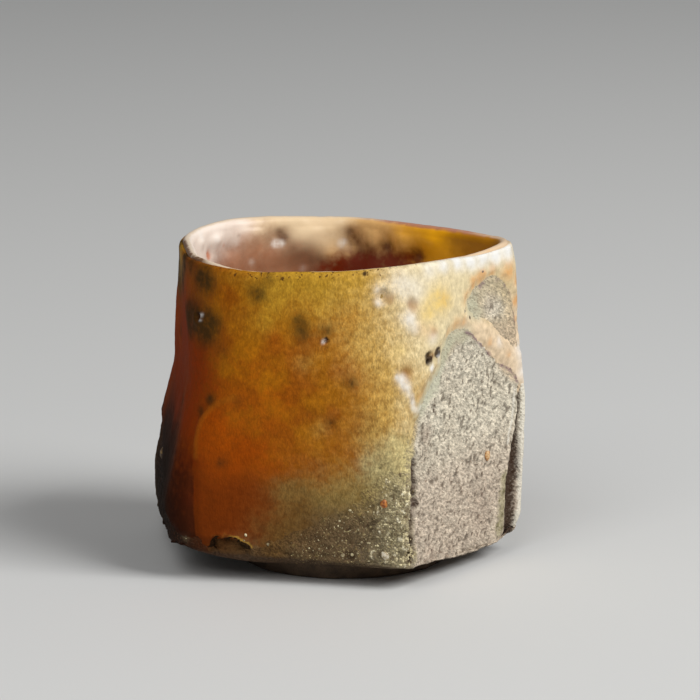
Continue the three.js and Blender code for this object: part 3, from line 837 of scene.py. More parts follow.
def wall_marks(place):
    """Every mark of the fire on the outside, for points of the wall, with the shares of its zones."""
    points = place["points"]
    parts = shares(points, outside_zones)
    cover = glaze_cover(place)
    shaken = np.stack([waves(points, UNSTEADY_WAVE, seed) for seed in (36, 37, 38)], axis=-1)
    unsteady = points + UNSTEADY * shaken
    marks = {mark: dabs(unsteady, middles) for mark, middles in MARK_DABS.items()}
    marks["cover"] = cover
    # Painted highlight in a streak down the front corner.
    streak = np.exp(-((path_gap(unsteady, HIGHLIGHT_LINE) / HIGHLIGHT_HALF) ** 2))
    streak = streak * (0.8 + 0.4 * waves(points, 1.6, 68))
    marks["painted_highlight"] = np.maximum(marks["painted_highlight"], 0.7 * streak)
    marks["halo"] = dabs(points, halo_dabs) * ease(cover, -HALO_WIDE - 1.6, -HALO_WIDE + 1.0)
    marks["halo"] = marks["halo"] * (1 - ease(cover, 0.0, 2.6))
    marks["plum"] = dabs(points, plum_dabs) * np.exp(-(((cover + 0.25) / PLUM_WIDE) ** 2))
    front = front_share(place["bearing"])
    marks["rim"] = ease(place["station"], WALL_RUN - 1.5, WALL_RUN) * (1 - marks["painted_highlight"]) * front
    behind = ease(swelling(place["bearing"], 1, math.radians(80), math.radians(95)), 0, 0.3)
    marks["pale_lip"] = ease(place["station"], LIP_START - 0.3, LIP_START + 0.2) * behind
    ashen = parts["crust"] + parts["ash"] + 0.35 * parts["olive"] + 0.5 * parts["umber"]
    burnt = parts["char"] + parts["red"] + parts["rust"] + parts["orange"]
    crusty = ease(ashen, 0.25, 0.85) * (1 - ease(burnt, 0.15, 0.5) * ease(cover, -0.5, 0.5))
    ashy = ease(parts["ash"], 0.12, 0.5)
    bare = ease(parts["bare"], 0.2, 0.5) * (1 - 0.8 * marks["halo"]) * (1 - ease(cover, -0.5, 0.5))
    marks["crusty"] = crusty
    marks["thinning"] = ease(parts["olive"] + parts["sage"] + parts["umber"], 0.15, 0.5)
    grit = blend(grit_relief(points, GRIT_SIZE), grit_relief(points, CRUST_SIZE), 0.65 * crusty)
    marks["grit"] = grit
    marks["ash_grain"] = ease(grit, 0.0, 0.9) * ashy
    marks["crust_grain"] = ease(grit, 0.1, 1.0) * crusty * (1 - ashy)
    marks["clay_grain"] = ease(grit, 0.0, 0.9) * bare
    marks["dark_gap"] = ease(-grit, -0.05, 0.8) * np.maximum(bare, crusty)
    return marks, parts


print("marks:", ", ".join(wall_marks(patch(columns[:, :3], np.zeros((1, 1))))[0]))

# %% [markdown]
# ## Grids into pieces
#
# Every coat is a grid of rows and columns that closes round the cup. One function turns such a grid into an
# object with smooth shading, an even map for textures and the marks as point attributes. A grid whose last
# row joins its first is a closed ring, such as a coat of glaze. Otherwise each end is closed at its middle.


# %% A piece from a grid
def grid_piece(name, rows, marks, ring=False):
    """A closed object from a grid of points in mm, with one mark value for each point."""
    high, wide = rows.shape[:2]
    points = rows.reshape(-1, 3)
    across = np.arange(wide)
    following = (across + 1) % wide
    low_row = np.arange(high if ring else high - 1)[:, None] * wide
    next_row = (low_row + wide) % (high * wide)
    quads = np.stack([low_row + across, low_row + following, next_row + following, next_row + across], -1)
    faces = quads.reshape(-1, 4).tolist()
    count = len(low_row)
    left, right = across / wide, (across + 1) / wide
    lower = np.arange(count)[:, None] / count
    upper = lower + 1 / count
    corners = [(left, lower), (right, lower), (right, upper), (left, upper)]
    flat = np.stack([np.stack(np.broadcast_arrays(u, v), -1) for u, v in corners], axis=2).reshape(-1, 2)
    values = {mark: value.reshape(-1) for mark, value in marks.items()}
    if not ring:
        last = (high - 1) * wide
        poles = np.stack([points[:wide].mean(axis=0), points[last:].mean(axis=0)])
        bottom, top = len(points), len(points) + 1
        points = np.concatenate([points, poles])
        faces += np.stack([following, across, np.full(wide, bottom)], -1).tolist()
        faces += np.stack([last + across, last + following, np.full(wide, top)], -1).tolist()
        middle = (left + right) / 2
        ends = [[(right, 0 * left), (left, 0 * left), (middle, 0 * left)]]
        ends += [[(left, 1 + 0 * left), (right, 1 + 0 * left), (middle, 1 + 0 * left)]]
        fans = [np.stack([np.stack(corner, -1) for corner in end], axis=1).reshape(-1, 2) for end in ends]
        flat = np.concatenate([flat, *fans])
        for mark, value in values.items():
            values[mark] = np.concatenate([value, [value[:wide].mean(), value[last:].mean()]])
    mesh = bpy.data.meshes.new(name)
    mesh.from_pydata((points * MM).tolist(), [], faces)
    mesh.uv_layers.new(name="OFBake").uv.foreach_set("vector", flat.astype(np.float32).ravel())
    for mark, value in values.items():
        stored = mesh.attributes.new(mark, "FLOAT", "POINT")
        stored.data.foreach_set("value", value.astype(np.float32))
    mesh.shade_smooth()
    piece = bpy.data.objects.new(name, mesh)
    bpy.context.scene.collection.objects.link(piece)
    triangles = sum(len(face) - 2 for face in faces)
    print(name, len(points), "points,", triangles, "triangles")
    return piece


def stations(*stretches):
    """A column of stations: each stretch has a start, an end and a count of rows, its end left out."""
    return np.concatenate([np.linspace(start, end, count, endpoint=False) for start, end, count in stretches])


# %% [markdown]
# ## Stoneware body
#
# The clay is coarse: sand and broken feldspar stand out of it where the wire dragged, and the lower edge
# crumbled. A crease runs down the front corner, a groove runs beside the right corner, and a chip broke out
# of the lower front edge. Bump in the material could suggest them, but they are real shapes with shadows of
# their own, so they are moved points.

# %% Lines and swellings of the clay, in pixels and mm
HAND_WAVE, HAND_WAVE_SIZE = 0.2, 13.0
HAND_SWELLS = [(178, 325, 7, 0.65), (521, 395, 6, 0.55), (512, 262, 5, 0.5), (519, 532, 2.2, -0.9)]
GRIT_HEIGHT = 0.12
CREASE_LINE = [
    (413, 462), (412, 474), (414, 484), (412, 494), (415, 503), (412, 513), (411, 524), (409, 536),
    (412, 545), (410, 563),
]
CREASE_DEEP, CREASE_HALF = 0.9, 0.6
HOLE_PX, HOLE_RADIUS, HOLE_DEEP = (410, 554), 0.9, 0.9
GROOVE_LINE = [(517, 386), (517, 410), (516, 440), (514, 465), (512, 490), (511, 515), (510, 534)]
GROOVE_DEEP, GROOVE_TOP_HALF, GROOVE_LOW_HALF = 1.2, 0.32, 1.4
GROOVE_TOP, GROOVE_LOW = 25, 13
RIDGE_LINE = [(521, 385), (522, 410), (522, 440), (521, 480), (519, 510), (516, 528)]
CRACK_LINE = [(436, 399), (436, 405), (434, 414)]
CHIP_ALONG, CHIP_WIDE, CHIP_TALL, CHIP_DEEP = -15.7, 8.0, 2.9, 1.2
print("the crease runs down from", seen(*CREASE_LINE[0]).round(1), "to", seen(*CREASE_LINE[-1]).round(1))

# %% The clay's own shape
FAR_FROM_CHIP = 9
hand_swells = seen_places(HAND_SWELLS)


def hand_waves(points):
    """The slow unevenness that the hand leaves in clay, shared by every coat on it."""
    height = HAND_WAVE * (rough(points, HAND_WAVE_SIZE, 3, octaves=2) - 0.4)
    for middle, radius, swell in hand_swells:
        height = height + swell * np.exp(-((np.linalg.norm(points - middle, axis=-1) / radius) ** 2))
    return height


def chip_share(place):
    """Place within the chip: 0 in its middle, 1 at its rim."""
    flat, out = on_side(place["points"], FRONT)
    up = np.maximum(place["station"], 0) / CHIP_TALL
    across = (flat[..., 0] - CHIP_ALONG) / (CHIP_WIDE / 2)
    share = np.hypot(across, up) + 0.2 * rough(place["points"], 1.6, 8)
    return np.where((out > 0) & (place["station"] > -2), share, FAR_FROM_CHIP)


def line_mark(points, corners, half):
    """A soft line through pixels of the photograph, as strong as 1 in its middle."""
    return np.exp(-((path_gap(points, corners) / half) ** 2))


def groove_share(points):
    """How far points lie from the groove's middle, in half widths. It widens downwards."""
    low = 1 - ease(points[..., 2], GROOVE_LOW, GROOVE_TOP)
    return path_gap(points, GROOVE_LINE) / blend(GROOVE_TOP_HALF, GROOVE_LOW_HALF, low)


def crease_open(points):
    """How far the crease gapes along its run: 1 where it is open, and half where it closed again."""
    return blend(0.5, 1, ease(waves(points, 1.8, 67), -0.9, 0.0))


def clay_height(place, marks):
    """How far the clay stands out of its plain skin, in mm."""
    points, station = place["points"], place["station"]
    shown = 1 - ease(marks["cover"], -0.3, 1.2) * (1 - marks["crusty"])
    on_wall = ease(station, -3, 0) * (1 - ease(station, WALL_RUN - 1, WALL_RUN))
    smooth = np.maximum(marks["halo"], line_mark(points, RIDGE_LINE, 0.9))
    gritty = shown * (1 - 0.8 * smooth) * on_wall
    grit = GRIT_HEIGHT * (1 + 1.2 * marks["crusty"]) * marks["grit"]
    height = hand_waves(points) + gritty * (grit + 0.1 * rough(points, 2.2, 23))
    pits = ease(0.2 - grain_gap(points, 3.3, 25), 0, 0.12)
    height = height - 0.35 * pits * gritty
    crumbly = np.exp(-((station / 0.9) ** 2))
    height = height + crumbly * (0.4 * rough(points, 2.0, 27) - 0.3)
    crease = path_gap(points, CREASE_LINE) + 0.25 * waves(points, 1.1, 29)
    lumps = 0.4 * np.exp(-(((crease - 1.2) / 0.7) ** 2)) * (0.3 + waves(points, 1.3, 28))
    height = height - CREASE_DEEP * crease_open(points) * np.exp(-((crease / CREASE_HALF) ** 2)) + lumps
    hole = np.linalg.norm(points - seen(*HOLE_PX), axis=-1)
    height = height - HOLE_DEEP * np.exp(-((hole / HOLE_RADIUS) ** 2))
    height = height - GROOVE_DEEP * np.exp(-(groove_share(points) ** 2))
    height = height + 0.3 * line_mark(points, RIDGE_LINE, 0.8)
    height = height - 0.8 * marks["iron_spot_and_hole_shade"] * ease(marks["cover"], -0.5, 0.5)
    crack = path_gap(points, CRACK_LINE)
    height = height - 0.4 * np.exp(-((crack / 0.25) ** 2))
    into = 1 - chip_share(place)
    return height - CHIP_DEEP * ease(into, -0.05, 0.3) * blend(1, 0.4, ease(into, 0.25, 0.6))


def back_share(bearing):
    """1 round the back, where the fingers dented the inside deepest, and 0 at the front."""
    return ease(swelling(bearing, 1, math.radians(105), math.radians(110)), 0.1, 0.5)


print("front and back:", back_share(BEARING[FRONT]).round(2), back_share(BEARING[BACK_LEFT]).round(2))

# %% Marks on the body
# Bare clay needs close rows. Above it the glaze hides the clay, and a few rows do.
BARE_TOP = 41.5
UNDER_SHARE = 0.97
body_rows = stations(
    (-BEVEL_RUN - UNDER_SHARE * UNDER_RUN, -BEVEL_RUN, 10),
    (-BEVEL_RUN, 0, 8),
    (0, BARE_TOP, 124),
    (BARE_TOP, LIP_START, 6),
    (LIP_START, INNER_START, 6),
    (INNER_START, TURN_START, 8),
    (TURN_START, FLOOR_START, 5),
    (FLOOR_START, SKIN_END - 0.5, 5),
)[:, None]
TINT_LINE = [(505, 478), (503, 505), (500, 530)]
GLINT_LINE = [(513, 388), (511, 412), (508, 445)]

body_place = patch(columns, body_rows)
body_marks, body_parts = wall_marks(body_place)
clay_points, clay_stations = body_place["points"], body_place["station"]
body_chip = chip_share(body_place)
chip_floor = (1 - ease(body_chip, 0.95, 1.1)) * ease(body_chip, 0.45, 0.9)
# Crack, crease, hole and groove are sunk and also painted dark: painted shade in these recesses.
body_marks["crack"] = line_mark(clay_points, CRACK_LINE, 0.3)
body_marks["crease"] = line_mark(clay_points, CREASE_LINE, 0.9) * crease_open(clay_points)
body_marks["hole"] = dabs(clay_points, [(seen(*HOLE_PX), 1.0, 1)])
body_marks["groove"] = np.exp(-((groove_share(clay_points) / 1.2) ** 2))
# A pale line painted as a highlight along the lit ridge.
body_marks["ridge"] = line_mark(clay_points, RIDGE_LINE, 0.9)
body_marks["tint"] = line_mark(clay_points, TINT_LINE, 1.8)
body_marks["glint"] = line_mark(clay_points, GLINT_LINE, 0.4)
# Painted shadow under the rim of the chip.
body_marks["hollow"] = chip_floor * (clay_stations > 0)
body_marks["rosy"] = 1 - ease(clay_points[..., 2], 12, 30)
body_marks["chip"] = 1 - ease(body_chip, 0.9, 1.1)
# Painted shade on the bevel under the cup.
body_marks["under"] = ease(-clay_stations, 0.2, 2.5)
print("marks on the body:", len(body_marks))

# %% The body
BOX_MARGIN = 0.02
UNDER_LINER, UNDER_DENTS = 0.25, 1.25
box_low, box_high = (np.array(corner) / MM for corner in cad_box)


def raised(place, lift):
    """Points lifted off the skin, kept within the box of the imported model."""
    points = place["points"] + place["normals"] * lift[..., None]
    return np.clip(points, box_low + BOX_MARGIN, box_high - BOX_MARGIN)


dented = ease(clay_stations, INNER_START + 0.5, INNER_START + 5) * back_share(body_place["bearing"])
sunk = UNDER_LINER + UNDER_DENTS * dented
body_lift = clay_height(body_place, body_marks) - sunk * (clay_stations > LIP_START)
body_points = raised(body_place, body_lift)
on_foot = np.broadcast_to(body_rows < -BEVEL_RUN + 0.1, body_points.shape[:2])
body_points[on_foot, 2] = np.maximum(body_points[on_foot, 2], FOOT_HEIGHT)
bare_part = body_parts.pop("bare")
bared = ease(bare_part, 0.2, 0.5)
body_parts = {zone: part * (1 - bared) for zone, part in body_parts.items()}
body_parts["bare"] = bare_part
stoneware_body = grid_piece("stoneware_cup", body_points, body_marks | mix_steps(body_parts, "bare"))
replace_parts(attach(stoneware_body, "root"), "stoneware_body")

# %% [markdown]
# ## Ash glaze
#
# The glaze is a coat about 0.7 mm thick that thins towards the arch, where it ends in a small roll, and fades
# away over the lower front. It blistered: pits with raised rims, two open holes and a row of lumps up the
# front corner. It could be paint on the clay, but then its edge would cast no shadow. So the coat is a closed
# ring of its own, thick where there is glaze and sunk under the clay elsewhere.

# %% Pits, lumps and lines of the glaze, in pixels and mm
GLAZE_FULL = 0.72
GLAZE_AT_LIP = 0.42
GLAZE_AT_ARCH = 0.35
GLAZE_SINK = 0.4
CHIP_CLEAR = 0.5
SHARP_EDGE, FADING_EDGE = 1.4, 5.5
PITS = [
    (381, 296, 1.5, 0.7, 0.28), (426.5, 355, 0.6, 1.2, 0.12), (426, 361, 0.65, 1.2, 0.12),
    (435.5, 350, 0.5, 1.1, 0.12), (435, 354, 0.5, 1.1, 0.12), (327, 340, 0.55, 0.7, 0.2),
    (411, 306, 1.5, 0.4, 0.05), (465, 311, 0.8, 0.35, 0.12), (405, 372, 1.3, 0.5, 0.08),
    (203, 316, 0.9, 0.35, 0.22), (351, 381, 0.6, 0.25, 0.04), (333, 421, 0.6, 0.25, 0.05),
    (410, 399, 0.3, 0.5, 0.05), (302, 329, 1.6, 0.25, 0.02), (380, 468, 0.8, 0.3, 0.05),
    (438, 345, 0.3, 0.4, 0.04),
]
PITS_ROUND = [
    (130, 44, 1.3, 0.6, 0.25), (95, 46, 0.8, 0.7, 0.2), (150, 38, 0.8, 0.5, 0.2),
    (40, 47, 1.0, 0.6, 0.2),
]
LUMPS = [
    (415, 411, 1.5, 0.45), (402, 388, 1.4, 0.5), (407, 397, 1.2, 0.3), (406, 322, 1.8, 0.4),
    (413, 333, 1.6, 0.35), (440, 366, 1.2, 0.3), (427, 371, 1.1, 0.25), (376, 292, 1.2, 0.25),
    (430, 338, 1.8, 0.25), (203, 322, 1.5, 0.3), (396, 288, 1.5, 0.2), (499, 346, 0.9, 0.25),
    (506, 356, 1.0, 0.2),
]
ROLL_LINE = [(456, 325), (470, 327), (482, 336), (492, 345), (503, 355), (514, 367), (519, 380)]
ARCH_LINE = [(197, 456), (199, 436), (204, 421), (212, 410), (222, 402), (236, 397)]
CREVICE_LINE = [(210, 404), (202, 414), (196, 426), (194, 445), (194, 480), (195, 515), (196, 542)]


print("pits", len(PITS + PITS_ROUND), "lumps", len(LUMPS))


# %% The coat's thickness
def glaze_height(place, marks):
    """How far the glaze stands out of the clay's plain skin, in mm."""
    points, cover, station = place["points"], marks["cover"], place["station"]
    thin = np.maximum(marks["thinning"], dabs(points, halo_dabs))
    edge = blend(SHARP_EDGE, FADING_EDGE, np.maximum(marks["crusty"], thin))
    full = blend(GLAZE_FULL, GLAZE_AT_LIP, ease(station, WALL_RUN - 8, WALL_RUN))
    full = blend(full, GLAZE_AT_ARCH, line_mark(points, ROLL_LINE, 3.0))
    height = full * ease(cover, -0.2, edge) - GLAZE_SINK * (1 - ease(cover, -1.0, 0))
    coated = ease(cover, 0, 1.2)
    height = height + 0.1 * line_mark(points, ROLL_LINE, 1.5) * coated
    height = height + coated * (0.04 * rough(points, 1.6, 41) + 0.1 * waves(points, 4.5, 44))
    height = height + 2.2 * GRIT_HEIGHT * marks["crusty"] * marks["grit"] * coated
    for middle, radius, swell in seen_places(LUMPS):
        height = height + swell * dabs(points, [(middle, radius, 1)])
    for middle, radius, deep, rim in seen_places(PITS) + hidden_places(PITS_ROUND):
        gap = np.linalg.norm(points - middle, axis=-1) + 0.12 * waves(points, 0.8, 47)
        height = height - deep * (1 - ease(gap, 0.2 * radius, radius))
        height = height + rim * np.exp(-(((gap - 1.2 * radius) / (0.4 * radius)) ** 2))
    height = height + 0.15 * line_mark(points, ARCH_LINE, 0.8) - 0.3 * line_mark(points, CREVICE_LINE, 0.6)
    chip = chip_share(place)
    rolled = np.exp(-(((chip - 1.12) / 0.14) ** 2)) * (station > 0)
    return height + 0.2 * rolled - (CHIP_DEEP + CHIP_CLEAR) * ease(1 - chip, -0.05, 0.12)


few_places = patch(columns[:, ::25], np.arange(5, WALL_RUN, 5)[:, None])
few_heights = glaze_height(few_places, wall_marks(few_places)[0])
print("the glaze stands out up to", few_heights.max().round(2), "mm")

# %% The coat's grid
COAT_ROWS, LIP_ROWS, BACKING_ROWS = 138, 12, 10
COAT_BELOW_LINE, COAT_BELOW_EDGE = 2.2, 0.4
OVER_LIP_FRONT, OVER_LIP_BACK = 0.62, 0.34


def coat_end(bearing):
    """The station where the outside glaze ends: past the top of the lip in front, before it at the back."""
    return LIP_START + LIP_RUN * blend(OVER_LIP_BACK, OVER_LIP_FRONT, front_share(bearing))


coat_start = np.maximum(line_station(columns) - COAT_BELOW_LINE, -COAT_BELOW_EDGE)
up_wall = blend(coat_start, LIP_START - 1, np.linspace(0, 1, COAT_ROWS, endpoint=False)[:, None])
over_lip = blend(LIP_START - 1, coat_end(columns), np.linspace(0, 1, LIP_ROWS)[:, None])
coat_place = patch(columns, np.concatenate([up_wall, over_lip]))
print("rows of the coat:", len(coat_place["station"]))

# %% Marks on the coat
# How strongly the fine patterns show in each zone
FLECKS = {
    "amber": 0.4, "honey": 0.5, "gold": 0.75, "orange": 0.3, "rust": 0.15, "red": 0.15, "char": 0.1,
    "olive": 0.7, "sage": 0.9, "umber": 0.6, "crust": 0.5, "ash": 0.6, "straw": 0.6, "cream": 0.15,
    "peach": 0.1, "bare": 0,
}
coat_marks, coat_parts = wall_marks(coat_place)
glaze_points = coat_place["points"]
along_front = on_side(glaze_points, FRONT)[0][..., 0]
coat_marks["gloss"] = np.maximum(coat_parts["cream"], coat_parts["peach"])
# Painted shadow left of the crevice at the front's left corner, stronger lower down.
shadowed_crevice = np.array([seen(x, y) for x, y in CREVICE_LINE])[::-1]
crevice_along = np.interp(glaze_points[..., 2], shadowed_crevice[:, 2], on_side(shadowed_crevice, FRONT)[0][:, 0])
left_of_it = crevice_along - along_front + 0.15 * waves(glaze_points, 1.2, 66)
low_down = 1 - ease(glaze_points[..., 2], 14, 31)
coat_marks["shadowed_crevice"] = ease(left_of_it, -0.25, 0.25) * (1 - ease(left_of_it, 1.5, 8)) * low_down
coat_marks["dull"] = sum(coat_parts[zone] for zone in ("orange", "rust", "red", "char"))
coat_marks["soaked"] = coat_parts["bare"] * dabs(glaze_points, halo_dabs)
# A faint painted highlight along the arch's edge.
coat_marks["arch_edge_highlight"] = line_mark(glaze_points, ARCH_LINE, 0.7)
coat_chip = chip_share(coat_place)
patchy = blend(0.35, 1, ease(along_front - CHIP_ALONG, -2.5, 1.5))
patchy = patchy * (0.75 + 0.6 * waves(glaze_points, 0.9, 63))
above_edge = coat_place["station"] > 0.5
coat_marks["chip_rim"] = np.exp(-(((coat_chip - 1.1) / 0.13) ** 2)) * above_edge * patchy
coat_marks["fleck"] = sum(FLECKS[zone] * part for zone, part in coat_parts.items())
print("marks on the coat:", len(coat_marks))

# %% The coat
BACKING_DEEP = 1.0
COAT_TUCK = 0.35
coat_lift = hand_waves(glaze_points) + glaze_height(coat_place, coat_marks)
coat_marks = coat_marks | mix_steps(coat_parts, "amber", left_out=["bare"])
coat_lift = coat_lift - COAT_TUCK * ease(coat_place["station"], coat_end(columns) - 0.35, coat_end(columns))
coat_points = raised(coat_place, coat_lift)
backing_rows = blend(coat_start, coat_end(columns), np.linspace(1, 0, BACKING_ROWS)[:, None])
backing_place = patch(columns, backing_rows)
backing_sunk = BACKING_DEEP + (CHIP_DEEP + CHIP_CLEAR) * ease(1.1 - chip_share(backing_place), 0, 0.2)
backing_points = raised(backing_place, hand_waves(backing_place["points"]) - backing_sunk)
unmarked_backing = np.zeros(backing_points.shape[:2])
coat_marks = {mark: np.concatenate([value, unmarked_backing]) for mark, value in coat_marks.items()}
coat_rows = np.concatenate([coat_points, backing_points])
outer_glaze = grid_piece("ash_glaze_coat", coat_rows, coat_marks, ring=True)
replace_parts(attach(outer_glaze, "root"), "outer_glaze")

# %% [markdown]
# ## Liner
#
# The inside was pinched up with the fingers, which left soft dents and ridges, and it has a thicker, glossier
# coat: milky on the side that the flame reached, rose deeper down, ochre towards the sharp corner. A solidify
# modifier would give a coat of one thickness. A grid of its own follows the dents, laps the inner half of the
# lip and ends in a tuck. Its colours are zones of the same kind as those outside.

# %% Zones inside, as on the outside
INSIDE_ZONES = {
    "rose": [(240, 254, 5), (270, 258, 5), (228, 264, 3), (300, 258, 4), (252, 245, 3)],
    "milk": [(192, 240, 4), (205, 232, 5), (222, 228, 4), (200, 250, 2.5), (240, 226, 3)],
    "cream": [(258, 230, 3.5), (300, 228, 4), (338, 223, 4), (318, 236, 3), (280, 226, 3)],
    "tan": [(365, 228, 5), (372, 239, 3.5), (345, 250, 2), (390, 230, 5), (325, 248, 2), (405, 246, 2)],
    "ochre": [(402, 238, 4), (428, 241, 5), (445, 243, 4), (415, 232, 4)],
    "olive": [(457, 243, 3), (475, 243, 4), (495, 245, 3), (352, 238, 1.4)],
    "ember": [(312, 266, 4), (340, 265, 6), (365, 264, 6), (385, 263, 6), (405, 261, 4), (388, 246, 1.6)],
}
INSIDE_HIDDEN = {
    "milk": [(180, 48, 8), (200, 46, 7), (215, 50, 6)],
    "rose": [
        (90, 20, 12), (180, 22, 12), (270, 22, 12), (0, 18, 10), (130, 30, 9), (230, 30, 10),
        (300, 32, 9),
    ],
    "tan": [(-70, 50, 6), (-100, 48, 7), (-130, 50, 6), (-40, 50, 6)],
    "ochre": [(40, 38, 8), (20, 34, 8)],
    "ember": [(75, 28, 6), (-40, 30, 6)],
}
print("places inside:", sum(map(len, INSIDE_ZONES.values())) + sum(map(len, INSIDE_HIDDEN.values())))

# %% Dents and marks inside
FINGER_DENTS = [
    (280, 238, 1.6, 0.7), (272, 245, 2.0, 0.5), (350, 240, 2.2, 0.9), (362, 246, 1.8, 0.4),
    (388, 247, 1.8, 0.7), (418, 256, 1.8, 0.8), (207, 252, 1.2, 0.6), (310, 236, 3.0, -0.7),
    (250, 233, 3.0, -0.6), (372, 240, 2.2, -0.6), (403, 240, 2.2, -0.6), (432, 243, 2.4, -0.5),
    (214, 238, 1.4, -0.7), (198, 240, 1.4, -0.6), (330, 224, 3.0, -0.4), (225, 250, 1.6, 0.5),
    (295, 246, 2.2, -0.5), (325, 252, 2.0, -0.4),
]
# Painted highlights: shine in the finger dents, and a softer sheen lower down.
DENT_HIGHLIGHT_DABS = [
    (275, 243, 0.8, 0.8), (281, 244, 0.7, 0.7), (342, 243, 0.9, 0.7), (250, 262, 0.8, 0.3),
    (302, 268, 0.8, 0.3), (213, 240, 1.0, 0.5), (198, 236, 1.2, 0.5), (235, 240, 0.8, 0.4),
]
SHADE_DABS = [
    (283, 237, 1.1, 0.8), (279, 231, 0.8, 0.5), (292, 246, 1.2, 0.5), (356, 240, 1.2, 0.6),
    (350, 233, 0.9, 0.6), (364, 246, 0.9, 0.3), (388, 247, 1.3, 0.8), (418, 257, 1.4, 0.8),
    (236, 234, 0.5, 0.4), (249, 257, 0.5, 0.4),
]
BLUSH_DABS = [(207, 256, 1.0, 1), (222, 246, 0.6, 0.6)]
DEEP_DABS = [
    (322, 266, 1.6, 0.5), (340, 266, 2.4, 0.8), (358, 265, 2.6, 0.9), (376, 264, 2.6, 1),
    (392, 262, 2.4, 0.9), (408, 260, 2.0, 0.8), (420, 257, 1.6, 0.6),
]
print("finger dents", len(FINGER_DENTS), "marks", len(DENT_HIGHLIGHT_DABS + SHADE_DABS + BLUSH_DABS + DEEP_DABS))


# %% Shares of the zones inside
def inside_places(zone):
    """Places of one zone inside: those that the photograph shows and those deeper down."""
    hidden = [
        (skin(np.radians(bearing), INNER_START + LIP_BASE - level), radius)
        for bearing, level, radius in INSIDE_HIDDEN.get(zone, [])
    ]
    return seen_places(INSIDE_ZONES[zone], inside_samples) + hidden


inside_zones = {zone: inside_places(zone) for zone in INSIDE_ZONES}
INSIDE_DABS = {"blush": BLUSH_DABS, "deep": DEEP_DABS, "dent_highlight": DENT_HIGHLIGHT_DABS, "shade": SHADE_DABS}


def liner_marks(place):
    """Zones of the inside, its dabs, and the marks along the lip."""
    points, bearing, station = place["points"], place["bearing"], place["station"]
    marks = mix_steps(shares(points, inside_zones), "rose")
    edge = coat_end(bearing)
    marks["lip"] = 1 - ease(station, edge + 0.2 * LIP_RUN, edge + 0.5 * LIP_RUN)
    marks["red_lip"] = 1 - ease(station, edge + 0.3 * LIP_RUN, edge + 0.6 * LIP_RUN)
    marks["red_lip"] = marks["red_lip"] * swelling(bearing, 1, math.radians(45), math.radians(55))
    outer_half = 1 - ease(station, edge, edge + 0.3 * LIP_RUN)
    left_end = swelling(bearing, 1, math.radians(-170), math.radians(34))
    marks["scorch"] = outer_half * ease(left_end, 0, 0.6) * (0.8 + 0.5 * waves(points, 0.7, 71))
    for mark, rows in INSIDE_DABS.items():
        marks[mark] = dabs(points, seen_places(rows, inside_samples))
    return marks


print("inside:", ", ".join(inside_zones))

# %% The liner's grid
LINER_COLUMNS = 400
LINER_LIP_ROWS = 16
LINER_LAP = 0.16 * LIP_RUN
FLOOR_HOLE = 0.4
liner_columns = even_bearings(LINER_COLUMNS)[None, :]
liner_start = coat_end(liner_columns) - LINER_LAP
liner_top = blend(liner_start, INNER_START + 1, np.linspace(0, 1, LINER_LIP_ROWS, endpoint=False)[:, None])
liner_low = stations(
    (INNER_START + 1, TURN_START, 70),
    (TURN_START, FLOOR_START, 20),
    (FLOOR_START, SKIN_END - FLOOR_HOLE, 12),
)[:, None]
liner_rows = np.concatenate([liner_top, np.broadcast_to(liner_low, (len(liner_low), LINER_COLUMNS))])
liner_place = patch(liner_columns, liner_rows)
print("rows of the liner:", len(liner_rows))

# %% The liner
LINER_FULL, LINER_TUCK = 0.6, 0.25
FINGER_WAVE, FINGER_SIZE, FINGER_FLATTEN = 0.22, 8.0, (1, 1, 1.6)
lined = liner_place["points"]
finger = rough(lined * FINGER_FLATTEN, FINGER_SIZE, 51, octaves=2)
finger = finger * ease(liner_rows, INNER_START, INNER_START + 7)
liner_lift = LINER_FULL * ease(liner_rows, liner_start, liner_start + 0.35 * LIP_RUN)
liner_lift = liner_lift - LINER_TUCK * (1 - ease(liner_rows, liner_start, liner_start + 0.15 * LIP_RUN))
liner_lift = liner_lift + hand_waves(lined) + FINGER_WAVE * finger
inner_wall = ease(liner_rows, INNER_START - 0.5, INNER_START + 1.5)
for middle, radius, deep in seen_places(FINGER_DENTS, inside_samples):
    liner_lift = liner_lift - deep * inner_wall * dabs(lined, [(middle, radius, 1)])
liner_lift = liner_lift + 0.04 * rough(lined, 1.6, 55)
liner_points = raised(liner_place, liner_lift)
lining_rows = blend(SKIN_END - FLOOR_HOLE, liner_start + 0.2, np.linspace(0, 1, BACKING_ROWS)[:, None])
lining_place = patch(liner_columns, lining_rows)
lining_sunk = 0.5 + 1.3 * ease(lining_rows, INNER_START, INNER_START + 4) * back_share(liner_columns)
lining_points = raised(lining_place, -lining_sunk)
unmarked_lining = np.zeros(lining_points.shape[:2])
inner_marks = {
    mark: np.concatenate([unmarked_lining, value]) for mark, value in liner_marks(liner_place).items()
}
liner = grid_piece("liner_glaze_coat", np.concatenate([lining_points, liner_points]), inner_marks)
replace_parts(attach(liner, "root"), "liner_glaze")

# %% [markdown]
# ## Foot ring
#
# The foot is a low ring of the same clay, turned and wiped. A screw modifier could revolve its profile, but
# written as rows of points it takes the same function as the coats, and the wear is easily added to it.

